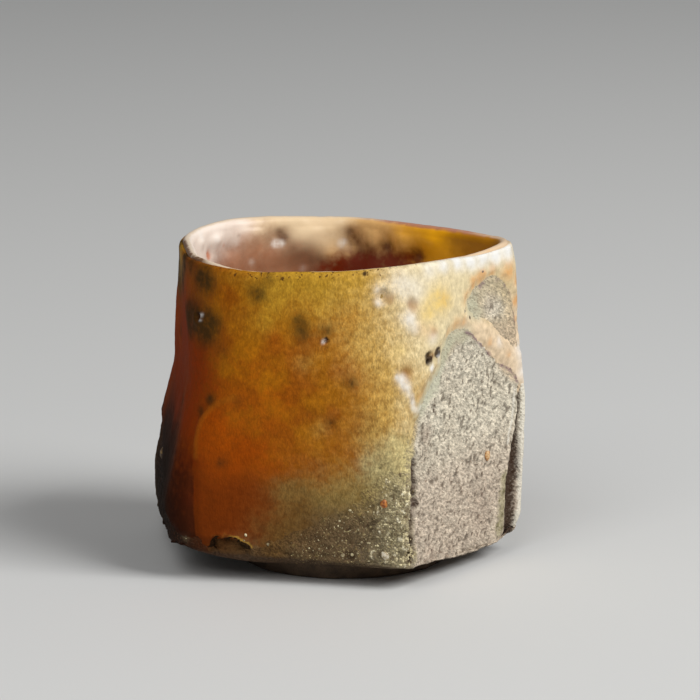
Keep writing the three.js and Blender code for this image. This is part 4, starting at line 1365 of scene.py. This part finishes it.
# %% The foot ring
FOOT_BORE = 14
FOOT_LEAN = 0.8
FOOT_COLUMNS, FOOT_ROWS = 220, 60
FOOT_WEAR, FOOT_WEAR_SIZE = 0.14, 2.2
foot_profile = np.array(
    [
        (FOOT_BORE + 0.6, 0),
        (FOOT_RADIUS - FOOT_LEAN - 0.6, 0),
        (FOOT_RADIUS - FOOT_LEAN - 0.15, 0.2),
        (FOOT_RADIUS - FOOT_LEAN, 0.6),
        (FOOT_RADIUS, FOOT_HEIGHT),
        (FOOT_BORE - FOOT_LEAN, FOOT_HEIGHT),
        (FOOT_BORE - 0.1, 0.6),
        (FOOT_BORE + 0.15, 0.2),
    ]
)
profile_run = np.concatenate([[0], np.cumsum(np.linalg.norm(np.diff(foot_profile, axis=0), axis=1))])
foot_run = np.linspace(0, profile_run[-1], FOOT_ROWS)
foot_radius = np.interp(foot_run, profile_run, foot_profile[:, 0])[:, None]
foot_level = np.interp(foot_run, profile_run, foot_profile[:, 1])[:, None]
foot_bearing = np.linspace(0, 2 * math.pi, FOOT_COLUMNS, endpoint=False)[None, :]
outward = np.stack(np.broadcast_arrays(np.cos(foot_bearing), np.sin(foot_bearing), 0), -1)
upright = foot_level[..., None] * (0, 0, 1)
foot_points = (*AXIS, 0) + outward * foot_radius[..., None] + upright
between = (foot_level > 0.1) & (foot_level < FOOT_HEIGHT - 0.1)
wear = FOOT_WEAR * rough(foot_points, FOOT_WEAR_SIZE, 71) * between
foot_points = foot_points + outward * wear[..., None]
foot_ring = grid_piece("stoneware_foot", foot_points, {}, ring=True)
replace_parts(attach(foot_ring, "root"), "foot_ring")

# %% [markdown]
# ## Feldspar stones and ash granules
#
# Coarse grains of feldspar half melted in the fire and stand out of the clay. Five are large enough to have
# places in the model. Where ash lay thick on the lower front it melted into small glassy granules, which are
# one piece: uneven lumps set more than half into the wall. They could be sculpted one by one, but at this
# size balls made uneven by waves look the same, and a seeded draw scatters them alike on every run.


# %% Lumps of stone
LUMP_UNEVEN, LUMP_WAVE, LUMP_APART = 0.28, 0.9, 7.0


def unit_ball(finer):
    """Points and triangles of a ball with a radius of 1."""
    made = bmesh.new()
    bmesh.ops.create_icosphere(made, subdivisions=finer, radius=1)
    points = np.array([list(vertex.co) for vertex in made.verts])
    faces = np.array([[vertex.index for vertex in face.verts] for face in made.faces])
    made.free()
    return points, faces


def lumps_piece(name, middles, sizes, normals, seed, finer=2, flatten=0.2):
    """One piece of uneven lumps: middles and half sizes in mm, each flattened along its normal."""
    ball, ball_faces = unit_ball(finer)
    points, faces = [], []
    for index, (middle, size, normal) in enumerate(zip(middles, sizes, normals)):
        uneven = 1 + LUMP_UNEVEN * waves(ball + LUMP_APART * index, LUMP_WAVE, seed)
        lump = ball * uneven[:, None] * size
        out = (lump @ normal)[:, None] * normal
        points.append(np.clip(middle + lump - flatten * out, box_low + BOX_MARGIN, box_high - BOX_MARGIN))
        faces.append(ball_faces + index * len(ball))
    mesh = bpy.data.meshes.new(name)
    mesh.from_pydata((np.concatenate(points) * MM).tolist(), [], np.concatenate(faces).tolist())
    mesh.shade_smooth()
    piece = bpy.data.objects.new(name, mesh)
    bpy.context.scene.collection.objects.link(piece)
    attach(piece, "root")
    print(name, len(middles), "lumps,", sum(map(len, faces)), "triangles")
    return piece


# %% Five feldspar stones
body_places = body_place["points"].reshape(-1, 3)
body_normals = body_place["normals"].reshape(-1, 3)
stones = {}
for node_name in sorted(name for name in frame["nodes"] if name.startswith("stone_")):
    low, high = (np.array(corner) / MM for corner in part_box(node_name))
    middle = (low + high) / 2
    normal = body_normals[np.argmin(((body_places - middle) ** 2).sum(axis=1))]
    half = (high - low) / 2
    stone = lumps_piece(node_name + "_pebble", [middle], [half], [normal], seed=len(stones), finer=4)
    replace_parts(stone, node_name)
    stones[node_name] = stone

# %% Ash granules
GRANULES = 900
GRANULE_LEAST, GRANULE_MOST = 0.13, 0.36
GRANULE_SUNK = 0.45
GRANULE_LOW, GRANULE_HIGH = 0.2, 40
glaze_lift = hand_waves(body_place["points"]) + glaze_height(body_place, body_marks)
top_points = raised(body_place, np.maximum(body_lift, glaze_lift)).reshape(-1, 3)
on_wall = (clay_stations > GRANULE_LOW) & (clay_stations < GRANULE_HIGH)
weight = (body_parts["ash"] ** 2 + 0.1 * body_parts["crust"] ** 2) * on_wall
draw = np.random.default_rng(12)
picked = draw.choice(weight.size, GRANULES, replace=False, p=weight.ravel() / weight.sum())
spread = GRANULE_LEAST + (GRANULE_MOST - GRANULE_LEAST) * draw.random((GRANULES, 1)) ** 3
sizes = spread * (0.7 + 0.6 * draw.random((GRANULES, 3)))
middles = top_points[picked] - GRANULE_SUNK * spread * body_normals[picked]
granules = lumps_piece("ash_granules", middles, sizes, body_normals[picked], seed=90)

# %% [markdown]
# ## Materials
#
# Each material starts from what the real one is. Colours are written as sRGB hex, as a colour picker shows
# them, and turned to linear light by one function. Texture coordinates are the object's own, in metres, so a
# pattern's scale is one over its size. One small function adds a node, with its settings and its links.


# %% Colours and nodes
def linear(code):
    """A hex colour as the linear red, green, blue and alpha that Blender works in."""
    parts = [int(code[start : start + 2], 16) / 255 for start in (1, 3, 5)]
    light = [part / 12.92 if part <= 0.04045 else ((part + 0.055) / 1.055) ** 2.4 for part in parts]
    return (*light, 1)


def node(tree, kind, inputs=None, **settings):
    """Adds a node, applies its settings, and links or sets its inputs."""
    made = tree.nodes.new(kind)
    for setting, value in settings.items():
        setattr(made, setting, value)
    for socket, value in (inputs or {}).items():
        if isinstance(value, bpy.types.NodeSocket):
            tree.links.new(value, made.inputs[socket])
        else:
            made.inputs[socket].default_value = value
    return made


def start_material(name, **sockets):
    """A new material: its tree, its shader with constant sockets set, and object coordinates."""
    material = bpy.data.materials.new(name)
    material.use_nodes = True
    shader = material.node_tree.nodes["Principled BSDF"]
    for socket, value in sockets.items():
        shader.inputs[socket.replace("_", " ")].default_value = value
    place = node(material.node_tree, "ShaderNodeTexCoord").outputs["Object"]
    return material, material.node_tree, shader, place


print("a middle grey in linear light:", round(linear("#808080")[0], 3))

# %% [markdown]
# ### Colour laid on colour
#
# A finish is built up in layers: a ground, and then each mark's colour where the mark is strong. The marks
# are the point attributes made above. Their edges would be too even, so a noise frays them, and a noise also
# makes the ground a little darker and lighter. Both are done by a tone that swings about one.

# %% Layers of colour
MIX_FACTOR, MIX_A, MIX_B, MIX_RESULT = 0, 6, 7, 2


def at_size(place, size, detail):
    """Inputs of a pattern whose bumps are size mm apart, with finer ones on them by its detail."""
    return {"Vector": place, "Scale": 1 / (size * MM), "Detail": detail}


def about_one(pattern, swing):
    """Inputs that turn a pattern of about a half into a tone that swings about one."""
    return {"Value": pattern, "From Min": 0.3, "From Max": 0.7, "To Min": 1 - swing, "To Max": 1 + swing}


def over(tree, ground, code, value, start, full, most=1.0, rise="SMOOTHSTEP"):
    """Lays a colour over the ground where a value rises from start to full, at most as dense as most."""
    reach = {"Value": value, "From Min": start, "From Max": full, "To Max": most}
    share = node(tree, "ShaderNodeMapRange", reach, interpolation_type=rise).outputs["Result"]
    layers = {MIX_FACTOR: share, MIX_A: ground, MIX_B: linear(code)}
    return node(tree, "ShaderNodeMix", layers, data_type="RGBA").outputs[MIX_RESULT]


def lay_colours(tree, ground, marks, pattern, swing, rise="SMOOTHSTEP"):
    """Lays each mark's colour over the one before. A pattern frays the edges of the marks."""
    fray = node(tree, "ShaderNodeMapRange", about_one(pattern, swing)).outputs["Result"]
    for mark, code, start, full, most in marks:
        strength = node(tree, "ShaderNodeAttribute", attribute_name=mark).outputs["Fac"]
        frayed = node(tree, "ShaderNodeMath", {0: strength, 1: fray}, operation="MULTIPLY").outputs[0]
        ground = over(tree, ground, code, frayed, start, full, most, rise)
    return ground


def mix_zones(tree, ground, colours, pattern, swing):
    """Mixes the zones' colours in the order of their steps. A pattern frays them only where they meet."""
    fray = node(tree, "ShaderNodeMapRange", about_one(pattern, swing)).outputs["Result"]
    for zone, code in colours.items():
        step = node(tree, "ShaderNodeAttribute", attribute_name=zone).outputs["Fac"]
        full = node(tree, "ShaderNodeMath", {0: step, 1: step}, operation="MULTIPLY").outputs[0]
        meeting = node(tree, "ShaderNodeMath", {0: step, 1: full}, operation="SUBTRACT").outputs[0]
        mixed = {0: meeting, 1: fray, 2: full}
        frayed = node(tree, "ShaderNodeMath", mixed, operation="MULTIPLY_ADD").outputs[0]
        ground = over(tree, ground, code, frayed, 0, 1, rise="LINEAR")
    return ground


def mottled(tree, ground, pattern, swing, share):
    """Makes the ground darker and lighter by a pattern, as far as a share."""
    tone = node(tree, "ShaderNodeMapRange", about_one(pattern, swing)).outputs["Result"]
    layers = {MIX_FACTOR: share, MIX_A: ground, MIX_B: tone}
    return node(tree, "ShaderNodeMix", layers, data_type="RGBA", blend_type="MULTIPLY").outputs[MIX_RESULT]


SPARKLE = 0.34


def sparkles(tree, ground, place):
    """Lays specks of melted ash over the crust."""
    crusty = node(tree, "ShaderNodeAttribute", attribute_name="crusty").outputs["Fac"]
    specks = node(tree, "ShaderNodeTexNoise", at_size(place, SPARKLE, 1)).outputs["Fac"]
    strength = node(tree, "ShaderNodeMath", {0: specks, 1: crusty}, operation="MULTIPLY").outputs[0]
    return over(tree, ground, "#bfae7e", strength, 0.63, 0.71, 0.7)


print("scale of a pattern of 0.5 mm:", round(at_size(None, 0.5, 1)["Scale"]))

# %% [markdown]
# ### Bare stoneware
#
# Stoneware is clay fired until it is as dense as stone. The wire tore its surface, so pale grains and dark
# gaps lie side by side, and nothing on it shines. Painted pictures would not follow the marks round the cup,
# so its patterns are noise at the sizes of sand and silt, turned and stretched the way that the wire dragged.

# %% Patterns of the stoneware, in mm
# Real silt is too fine to show, so it is drawn as coarse as about a pixel.
CLAY_CLOUD, TORN_PATCH, SAND, SILT = 7, 1.8, 0.42, 0.22
DRAG_TURN = (0, math.radians(25), math.radians(55))
DRAG_STRETCH = (2.0, 1, 1)
clay, tree, shader, place = start_material("wood_fired_stoneware", IOR=1.5, Specular_IOR_Level=0.08)
drag = {"Vector": place, "Rotation": DRAG_TURN, "Scale": DRAG_STRETCH}
dragged = node(tree, "ShaderNodeMapping", drag, vector_type="TEXTURE").outputs["Vector"]
drift = node(tree, "ShaderNodeTexNoise", at_size(place, CLAY_CLOUD, 4)).outputs["Fac"]
torn = node(tree, "ShaderNodeTexNoise", at_size(place, TORN_PATCH, 3)).outputs["Fac"]
sand = node(tree, "ShaderNodeTexNoise", at_size(dragged, SAND, 1)).outputs["Fac"]
silt = node(tree, "ShaderNodeTexNoise", at_size(dragged, SILT, 2)).outputs["Fac"]
print(clay.name, "patterns:", CLAY_CLOUD, TORN_PATCH, SAND, SILT, "mm")

# %% Colours of the stoneware: mark, colour, where it starts and is full, and how dense it gets
CLAY_TONES = [("rosy", "#b4a08e", 0.0, 1, 0.6), ("dim", "#82695a", 0.1, 1.0, 0.6)]
CLAY_ZONES = {
    "amber": "#96600e",
    "honey": "#b48a26",
    "gold": "#b79348",
    "orange": "#70380a",
    "rust": "#50240a",
    "red": "#42180a",
    "char": "#1b1410",
    "olive": "#8c7640",
    "sage": "#c0b27e",
    "umber": "#6a4e28",
    "crust": "#625038",
    "ash": "#968c6c",
    "straw": "#b09a6c",
    "cream": "#b8ac92",
    "peach": "#b8a48a",
}
CLAY_GRAINS = [
    # Painted shade on the bevel under the cup.
    ("under", "#4a3b2e", 0.2, 1, 0.85),
    ("dark_gap", "#382a1c", 0.1, 1, 0.68),
    ("clay_grain", "#d8ccb6", 0.1, 1, 0.4),
    ("crust_grain", "#94804e", 0.1, 0.9, 0.75),
    ("ash_grain", "#f2e8c8", 0.1, 0.8, 1),
]
CLAY_MARKS = [
    ("halo", "#b8baa0", 0.1, 1.0, 0.62),
    ("plum", "#7b6466", 0.25, 0.8, 0.85),
    ("tint", "#878352", 0.2, 1, 0.5),
    # Ridge and glint: pale lines painted as highlights on the lit right corner.
    ("ridge", "#e2dccc", 0.2, 0.8, 0.8),
    ("glint", "#e0dbce", 0.3, 0.9, 0.6),
    # Painted shade in the groove, crease, hole and crack.
    ("groove", "#2e1808", 0.15, 0.7, 0.92),
    ("crease", "#38241a", 0.3, 0.9, 0.85),
    ("hole", "#3d1d10", 0.3, 0.9, 0.85),
    ("crack", "#3a1f14", 0.3, 0.9, 0.85),
    ("chip", "#6a4a26", 0.3, 0.9, 0.5),
    # Painted shadow under the rim of the chip.
    ("hollow", "#140c06", 0.2, 1.0, 0.85),
    # Iron spots, and painted shade in pits and holes.
    ("iron_spot_and_hole_shade", "#1c0d06", 0.3, 0.9, 0.9),
]
clay_zone_marks = [(zone, code, 0, 1, 1) for zone, code in CLAY_ZONES.items()]
ground = over(tree, linear("#c6bca8"), "#cfc6b2", drift, 0.35, 0.65)
ground = lay_colours(tree, ground, CLAY_TONES, drift, 0.3)
ground = lay_colours(tree, ground, clay_zone_marks, sand, 0.2, rise="LINEAR")
ground = lay_colours(tree, ground, CLAY_GRAINS, sand, 0.4)
ground = mottled(tree, ground, sand, 0.42, 0.85)
ground = mottled(tree, ground, silt, 0.3, 0.85)
ground = mottled(tree, ground, torn, 0.18, 0.9)
ground = over(tree, ground, "#6a4a38", silt, 0.58, 0.7, 0.5)
ground = sparkles(tree, ground, place)
ground = lay_colours(tree, ground, CLAY_MARKS, sand, 0.4)
tree.links.new(ground, shader.inputs["Base Color"])
print(clay.name, "zones:", len(CLAY_ZONES), "marks:", len(CLAY_TONES + CLAY_GRAINS + CLAY_MARKS))

# %% Surface of the stoneware
dullness = {"Value": sand, "To Min": 0.7, "To Max": 0.95}
tree.links.new(node(tree, "ShaderNodeMapRange", dullness).outputs["Result"], shader.inputs["Roughness"])
grain = node(tree, "ShaderNodeMath", {0: silt, 1: 0.4, 2: sand}, operation="MULTIPLY_ADD").outputs[0]
relief = {"Height": grain, "Strength": 1.0, "Distance": 0.3 * MM}
tree.links.new(node(tree, "ShaderNodeBump", relief).outputs["Normal"], shader.inputs["Normal"])
stoneware_body.data.materials.append(clay)
print(clay.name, len(tree.nodes), "nodes")

# %% [markdown]
# ### Foot clay
#
# The foot is the same stoneware, wiped smooth and darker, because no ash reached it, and darkened further
# as painted shade. It stands in its own shadow, so two patterns are enough: clouds from the wiping and fine
# sand.

# %% Foot clay
WIPED_CLOUD, FINE_SAND = 3, 0.3
foot_clay, tree, shader, place = start_material("shaded_wiped_stoneware", IOR=1.5)
drift = node(tree, "ShaderNodeTexNoise", at_size(place, WIPED_CLOUD, 5)).outputs["Fac"]
sand = node(tree, "ShaderNodeTexNoise", at_size(place, FINE_SAND, 3)).outputs["Fac"]
# Dark browns, partly painted shade.
ground = over(tree, linear("#3a2b1c"), "#5a4632", drift, 0.3, 0.7)
ground = over(tree, ground, "#241a10", sand, 0.55, 0.75, 0.6)
tree.links.new(ground, shader.inputs["Base Color"])
dullness = {"Value": sand, "To Min": 0.7, "To Max": 0.95}
tree.links.new(node(tree, "ShaderNodeMapRange", dullness).outputs["Result"], shader.inputs["Roughness"])
relief = {"Height": sand, "Strength": 0.8, "Distance": 0.08 * MM}
tree.links.new(node(tree, "ShaderNodeBump", relief).outputs["Normal"], shader.inputs["Normal"])
foot_ring.data.materials.append(foot_clay)
print(foot_clay.name, len(tree.nodes), "nodes")

# %% [markdown]
# ### Ash glaze
#
# Melted wood ash and clay make a lime glass, coloured amber by iron. It is satin where fine crystals grew in
# it, glossy where it is thick and pale, and dry where ash kept settling. Its surface has a fine orange peel,
# which ran downwards a little, so that noise is stretched along the height.

# %% Patterns of the ash glaze, in mm
# Single crystals are too fine to show, so they are drawn as coarse as about a pixel.
GLAZE_CLOUD, GLAZE_MOTTLE, ORANGE_PEEL, CRYSTAL, IRON_FRECKLE = 5, 1.1, 0.38, 0.2, 0.6
RUN_STRETCH = (1, 1, 0.5)
amber, tree, shader, place = start_material("amber_ash_glaze", IOR=1.5, Specular_IOR_Level=0.08)
run = node(tree, "ShaderNodeMapping", {"Vector": place, "Scale": RUN_STRETCH}).outputs["Vector"]
drift = node(tree, "ShaderNodeTexNoise", at_size(place, GLAZE_CLOUD, 4)).outputs["Fac"]
mottle = node(tree, "ShaderNodeTexNoise", at_size(place, GLAZE_MOTTLE, 4)).outputs["Fac"]
peel = node(tree, "ShaderNodeTexNoise", at_size(run, ORANGE_PEEL, 2)).outputs["Fac"]
crystals = node(tree, "ShaderNodeTexNoise", at_size(run, CRYSTAL, 2)).outputs["Fac"]
freckles = node(tree, "ShaderNodeTexNoise", at_size(place, IRON_FRECKLE, 1)).outputs["Fac"]
print(amber.name, "patterns:", GLAZE_CLOUD, GLAZE_MOTTLE, ORANGE_PEEL, CRYSTAL, IRON_FRECKLE, "mm")

# %% Colours of the ash glaze
GLAZE_ZONES = {
    "honey": "#b48a26",
    "gold": "#b79348",
    "orange": "#9c4400",
    "rust": "#743002",
    "red": "#7e2c04",
    "char": "#160c04",
    "olive": "#8c7640",
    "sage": "#c0b27e",
    "umber": "#6e5024",
    "crust": "#66543c",
    "ash": "#968c6c",
    "straw": "#cab484",
    "cream": "#dccba2",
    "peach": "#dcc4a4",
}
GLAZE_GRAINS = [
    ("dark_gap", "#2c2216", 0.05, 0.9, 0.8),
    ("crust_grain", "#968250", 0.1, 0.9, 0.75),
    ("ash_grain", "#f2e8c8", 0.1, 0.8, 1),
]
GLAZE_MARKS = [
    ("soaked", "#c6bca8", 0.0, 0.8, 1),
    ("lemon", "#dfb84a", 0.0, 1.0, 0.9),
    ("warm", "#cf9452", 0.0, 1.0, 0.9),
    ("halo", "#b8baa0", 0.1, 1.0, 0.62),
    ("cloud", "#33260c", 0.0, 1.0, 0.9),
    ("dent", "#94621f", 0.0, 1.0, 0.85),
    # Iron spots, and painted shade in pits and holes.
    ("iron_spot_and_hole_shade", "#2a1308", 0.25, 0.8, 0.92),
    # Painted shadow beside the crevice.
    ("shadowed_crevice", "#2a0e04", 0.0, 1.0, 0.75),
    # A faint painted highlight along the arch's edge.
    ("arch_edge_highlight", "#c07c1e", 0.2, 1.0, 0.15),
    ("chip_rim", "#c89c44", 0.2, 1.0, 0.8),
    ("plum", "#84686a", 0.3, 0.9, 0.6),
    ("pale_lip", "#c48668", 0.1, 0.9, 0.9),
]
# Painted highlights, near white.
HIGHLIGHT_MARKS = [("painted_highlight", "#e9e8e5", 0.0, 1.0, 0.92)]
ground = over(tree, linear("#985000"), "#a86604", drift, 0.35, 0.65)
ground = mix_zones(tree, ground, GLAZE_ZONES, mottle, 0.6)
ground = lay_colours(tree, ground, GLAZE_GRAINS, peel, 0.5)
fleck = node(tree, "ShaderNodeAttribute", attribute_name="fleck").outputs["Fac"]
ground = mottled(tree, ground, peel, 0.35, fleck)
ground = mottled(tree, ground, crystals, 0.3, fleck)
ground = mottled(tree, ground, mottle, 0.22, 0.8)
ground = sparkles(tree, ground, place)
ground = lay_colours(tree, ground, GLAZE_MARKS, mottle, 0.3)
ground = lay_colours(tree, ground, HIGHLIGHT_MARKS, mottle, 0.15)
rim = node(tree, "ShaderNodeAttribute", attribute_name="rim").outputs["Fac"]
iron = node(tree, "ShaderNodeMath", {0: freckles, 1: rim}, operation="MULTIPLY").outputs[0]
ground = over(tree, ground, "#4a2a10", iron, 0.6, 0.7, 0.85)
tree.links.new(ground, shader.inputs["Base Color"])
print(amber.name, "zones:", len(GLAZE_ZONES), "marks:", len(GLAZE_GRAINS + GLAZE_MARKS + HIGHLIGHT_MARKS))

# %% Surface of the ash glaze
# How much each mark adds to the roughness: crust and burnt colours are dry, pale glaze is glossy.
DRYNESS = {"crusty": 0.3, "dull": 0.35, "gloss": -0.3}
satin = {"Value": mottle, "To Min": 0.42, "To Max": 0.66}
dullness = node(tree, "ShaderNodeMapRange", satin).outputs["Result"]
for mark, by in DRYNESS.items():
    strength = node(tree, "ShaderNodeAttribute", attribute_name=mark).outputs["Fac"]
    added = {0: strength, 1: by, 2: dullness}
    dullness = node(tree, "ShaderNodeMath", added, operation="MULTIPLY_ADD").outputs[0]
tree.links.new(dullness, shader.inputs["Roughness"])
grain = node(tree, "ShaderNodeMath", {0: crystals, 1: 0.5, 2: peel}, operation="MULTIPLY_ADD").outputs[0]
relief = {"Height": grain, "Strength": 0.7, "Distance": 0.1 * MM}
tree.links.new(node(tree, "ShaderNodeBump", relief).outputs["Normal"], shader.inputs["Normal"])
outer_glaze.data.materials.append(amber)
print(amber.name, len(tree.nodes), "nodes")

# %% [markdown]
# ### Liner glaze
#
# Inside, the glaze is thicker and glossier. Reduction in the kiln turned its iron rose and mauve, and the ash
# that fell in left milky and ochre pools. The near-white spots in its finger dents are painted highlights. It
# is smooth, so a slight mottle is all the relief it needs.

# %% Liner glaze
LINER_CLOUD, LINER_MOTTLE = 5, 1.3
LINER_ZONES = {
    "milk": "#f8eadc",
    "cream": "#f4dab0",
    "tan": "#ffca80",
    "ochre": "#ffb400",
    "olive": "#a66c00",
    "ember": "#440800",
}
LINER_MARKS = [
    ("deep", "#741e00", 0.0, 0.9, 0.92),
    ("shade", "#5a2a10", 0.0, 1.0, 0.75),
    # Painted highlights in the finger dents.
    ("dent_highlight", "#f3ece2", 0.0, 1.0, 0.9),
    ("blush", "#c0683c", 0.1, 1.0, 0.8),
    ("lip", "#dcc6aa", 0.2, 0.9, 0.8),
    ("red_lip", "#b0705a", 0.1, 0.9, 0.85),
    ("scorch", "#6a3c06", 0.1, 0.7, 0.9),
]
rose, tree, shader, place = start_material("rose_liner_glaze", IOR=1.5, Specular_IOR_Level=0.25)
drift = node(tree, "ShaderNodeTexNoise", at_size(place, LINER_CLOUD, 4)).outputs["Fac"]
mottle = node(tree, "ShaderNodeTexNoise", at_size(place, LINER_MOTTLE, 4)).outputs["Fac"]
ground = over(tree, linear("#b27a58"), "#905c3e", drift, 0.3, 0.7)
ground = mix_zones(tree, ground, LINER_ZONES, mottle, 0.4)
ground = lay_colours(tree, ground, LINER_MARKS, mottle, 0.3)
tree.links.new(ground, shader.inputs["Base Color"])
dullness = {"Value": mottle, "To Min": 0.22, "To Max": 0.44}
tree.links.new(node(tree, "ShaderNodeMapRange", dullness).outputs["Result"], shader.inputs["Roughness"])
relief = {"Height": mottle, "Strength": 0.15, "Distance": 0.1 * MM}
tree.links.new(node(tree, "ShaderNodeBump", relief).outputs["Normal"], shader.inputs["Normal"])
liner.data.materials.append(rose)
print(rose.name, len(tree.nodes), "nodes")

# %% [markdown]
# ### Feldspar and ash glass
#
# Feldspar is a pale stone that softens in the fire to a sugary, orange-tinged gloss. The ash granules are
# drops of yellowish glass with crystals in them. Each stone has its own two colours, mixed in veins.

# %% Feldspar
FELDSPAR_VEIN = 0.5
STONE_COLOURS = {
    "stone_in_right_side": ("honey_feldspar", "#d9b482", "#a8682c"),
    "stone_in_front_side": ("orange_feldspar", "#b87430", "#7e3c14"),
    "stone_at_lower_edge": ("milky_feldspar", "#d8ceb8", "#a08a66"),
    "stone_in_left_side": ("scorched_feldspar", "#86683c", "#463220"),
    "stone_in_back_side": ("tan_feldspar", "#c89c60", "#8c5a2c"),
}
for node_name, stone in stones.items():
    stone_name, pale, dark = STONE_COLOURS[node_name]
    feldspar, tree, shader, place = start_material(stone_name, IOR=1.53)
    vein = node(tree, "ShaderNodeTexNoise", at_size(place, FELDSPAR_VEIN, 4)).outputs["Fac"]
    tree.links.new(over(tree, linear(pale), dark, vein, 0.4, 0.62), shader.inputs["Base Color"])
    dullness = {"Value": vein, "To Min": 0.4, "To Max": 0.7}
    tree.links.new(node(tree, "ShaderNodeMapRange", dullness).outputs["Result"], shader.inputs["Roughness"])
    relief = {"Height": vein, "Strength": 0.6, "Distance": 0.1 * MM}
    tree.links.new(node(tree, "ShaderNodeBump", relief).outputs["Normal"], shader.inputs["Normal"])
    stone.data.materials.append(feldspar)
    print(feldspar.name, "on", stone.name)

# %% Ash glass
GLASS_CLOUD = 1.2
ash_glass, tree, shader, place = start_material("ash_glass", IOR=1.5)
tint = node(tree, "ShaderNodeTexNoise", at_size(place, GLASS_CLOUD, 3)).outputs["Fac"]
ground = over(tree, linear("#6d5c3c"), "#d9cba0", tint, 0.38, 0.64)
tree.links.new(ground, shader.inputs["Base Color"])
dullness = {"Value": tint, "To Min": 0.3, "To Max": 0.6}
tree.links.new(node(tree, "ShaderNodeMapRange", dullness).outputs["Result"], shader.inputs["Roughness"])
granules.data.materials.append(ash_glass)
print("materials:", ", ".join(material.name for material in bpy.data.materials))

# %% [markdown]
# ## Floor and light
#
# The cup stands on a plain pale floor. One broad lamp to the right and above shapes the sides, as in the
# photograph, a weaker one lights the left half of the front, and an even pale surround fills the shadows.

# %% Floor
FLOOR_HALF = 4.0
floor_mesh = bpy.data.meshes.new("floor")
floor_signs = [(-1, -1), (1, -1), (1, 1), (-1, 1)]
floor_mesh.from_pydata([(x * FLOOR_HALF, y * FLOOR_HALF, 0) for x, y in floor_signs], [], [(0, 1, 2, 3)])
floor = bpy.data.objects.new("floor", floor_mesh)
bpy.context.scene.collection.objects.link(floor)
floor_paint = start_material("pale_floor", Roughness=0.8, Base_Color=linear("#d4d4d2"))[0]
floor_mesh.materials.append(floor_paint)
print("floor", 2 * FLOOR_HALF, "m wide")

# %% Lamps
LAMP_AIM = np.array([0, 0, 0.03])
LAMPS = {
    "key_lamp": {"bearing": -32, "height": 42, "away": 1.6, "size": 0.8, "watts": 23},
    "fill_lamp": {"bearing": -112, "height": 45, "away": 1.6, "size": 1.0, "watts": 8.5},
}
for lamp_name, lamp in LAMPS.items():
    light = bpy.data.lights.new(lamp_name, "AREA")
    light.energy = lamp["watts"]
    light.size = lamp["size"]
    bearing, height = math.radians(lamp["bearing"]), math.radians(lamp["height"])
    flat = math.cos(height)
    towards = np.array([math.cos(bearing) * flat, math.sin(bearing) * flat, math.sin(height)])
    hung = bpy.data.objects.new(lamp_name, light)
    hung.location = LAMP_AIM + lamp["away"] * towards
    hung.rotation_euler = (math.pi / 2 - height, 0, bearing + math.pi / 2)
    bpy.context.scene.collection.objects.link(hung)
    print(lamp_name, lamp["watts"], "W at", np.round(hung.location, 2), "m")

# %% Surround
SURROUND_STRENGTH = 0.17
world = bpy.data.worlds.new("surround")
world.use_nodes = True
background = world.node_tree.nodes["Background"]
background.inputs["Color"].default_value = linear("#f2f3f5")
background.inputs["Strength"].default_value = SURROUND_STRENGTH
bpy.context.scene.world = world
bpy.context.scene.view_settings.view_transform = "Standard"
print("surround", SURROUND_STRENGTH)
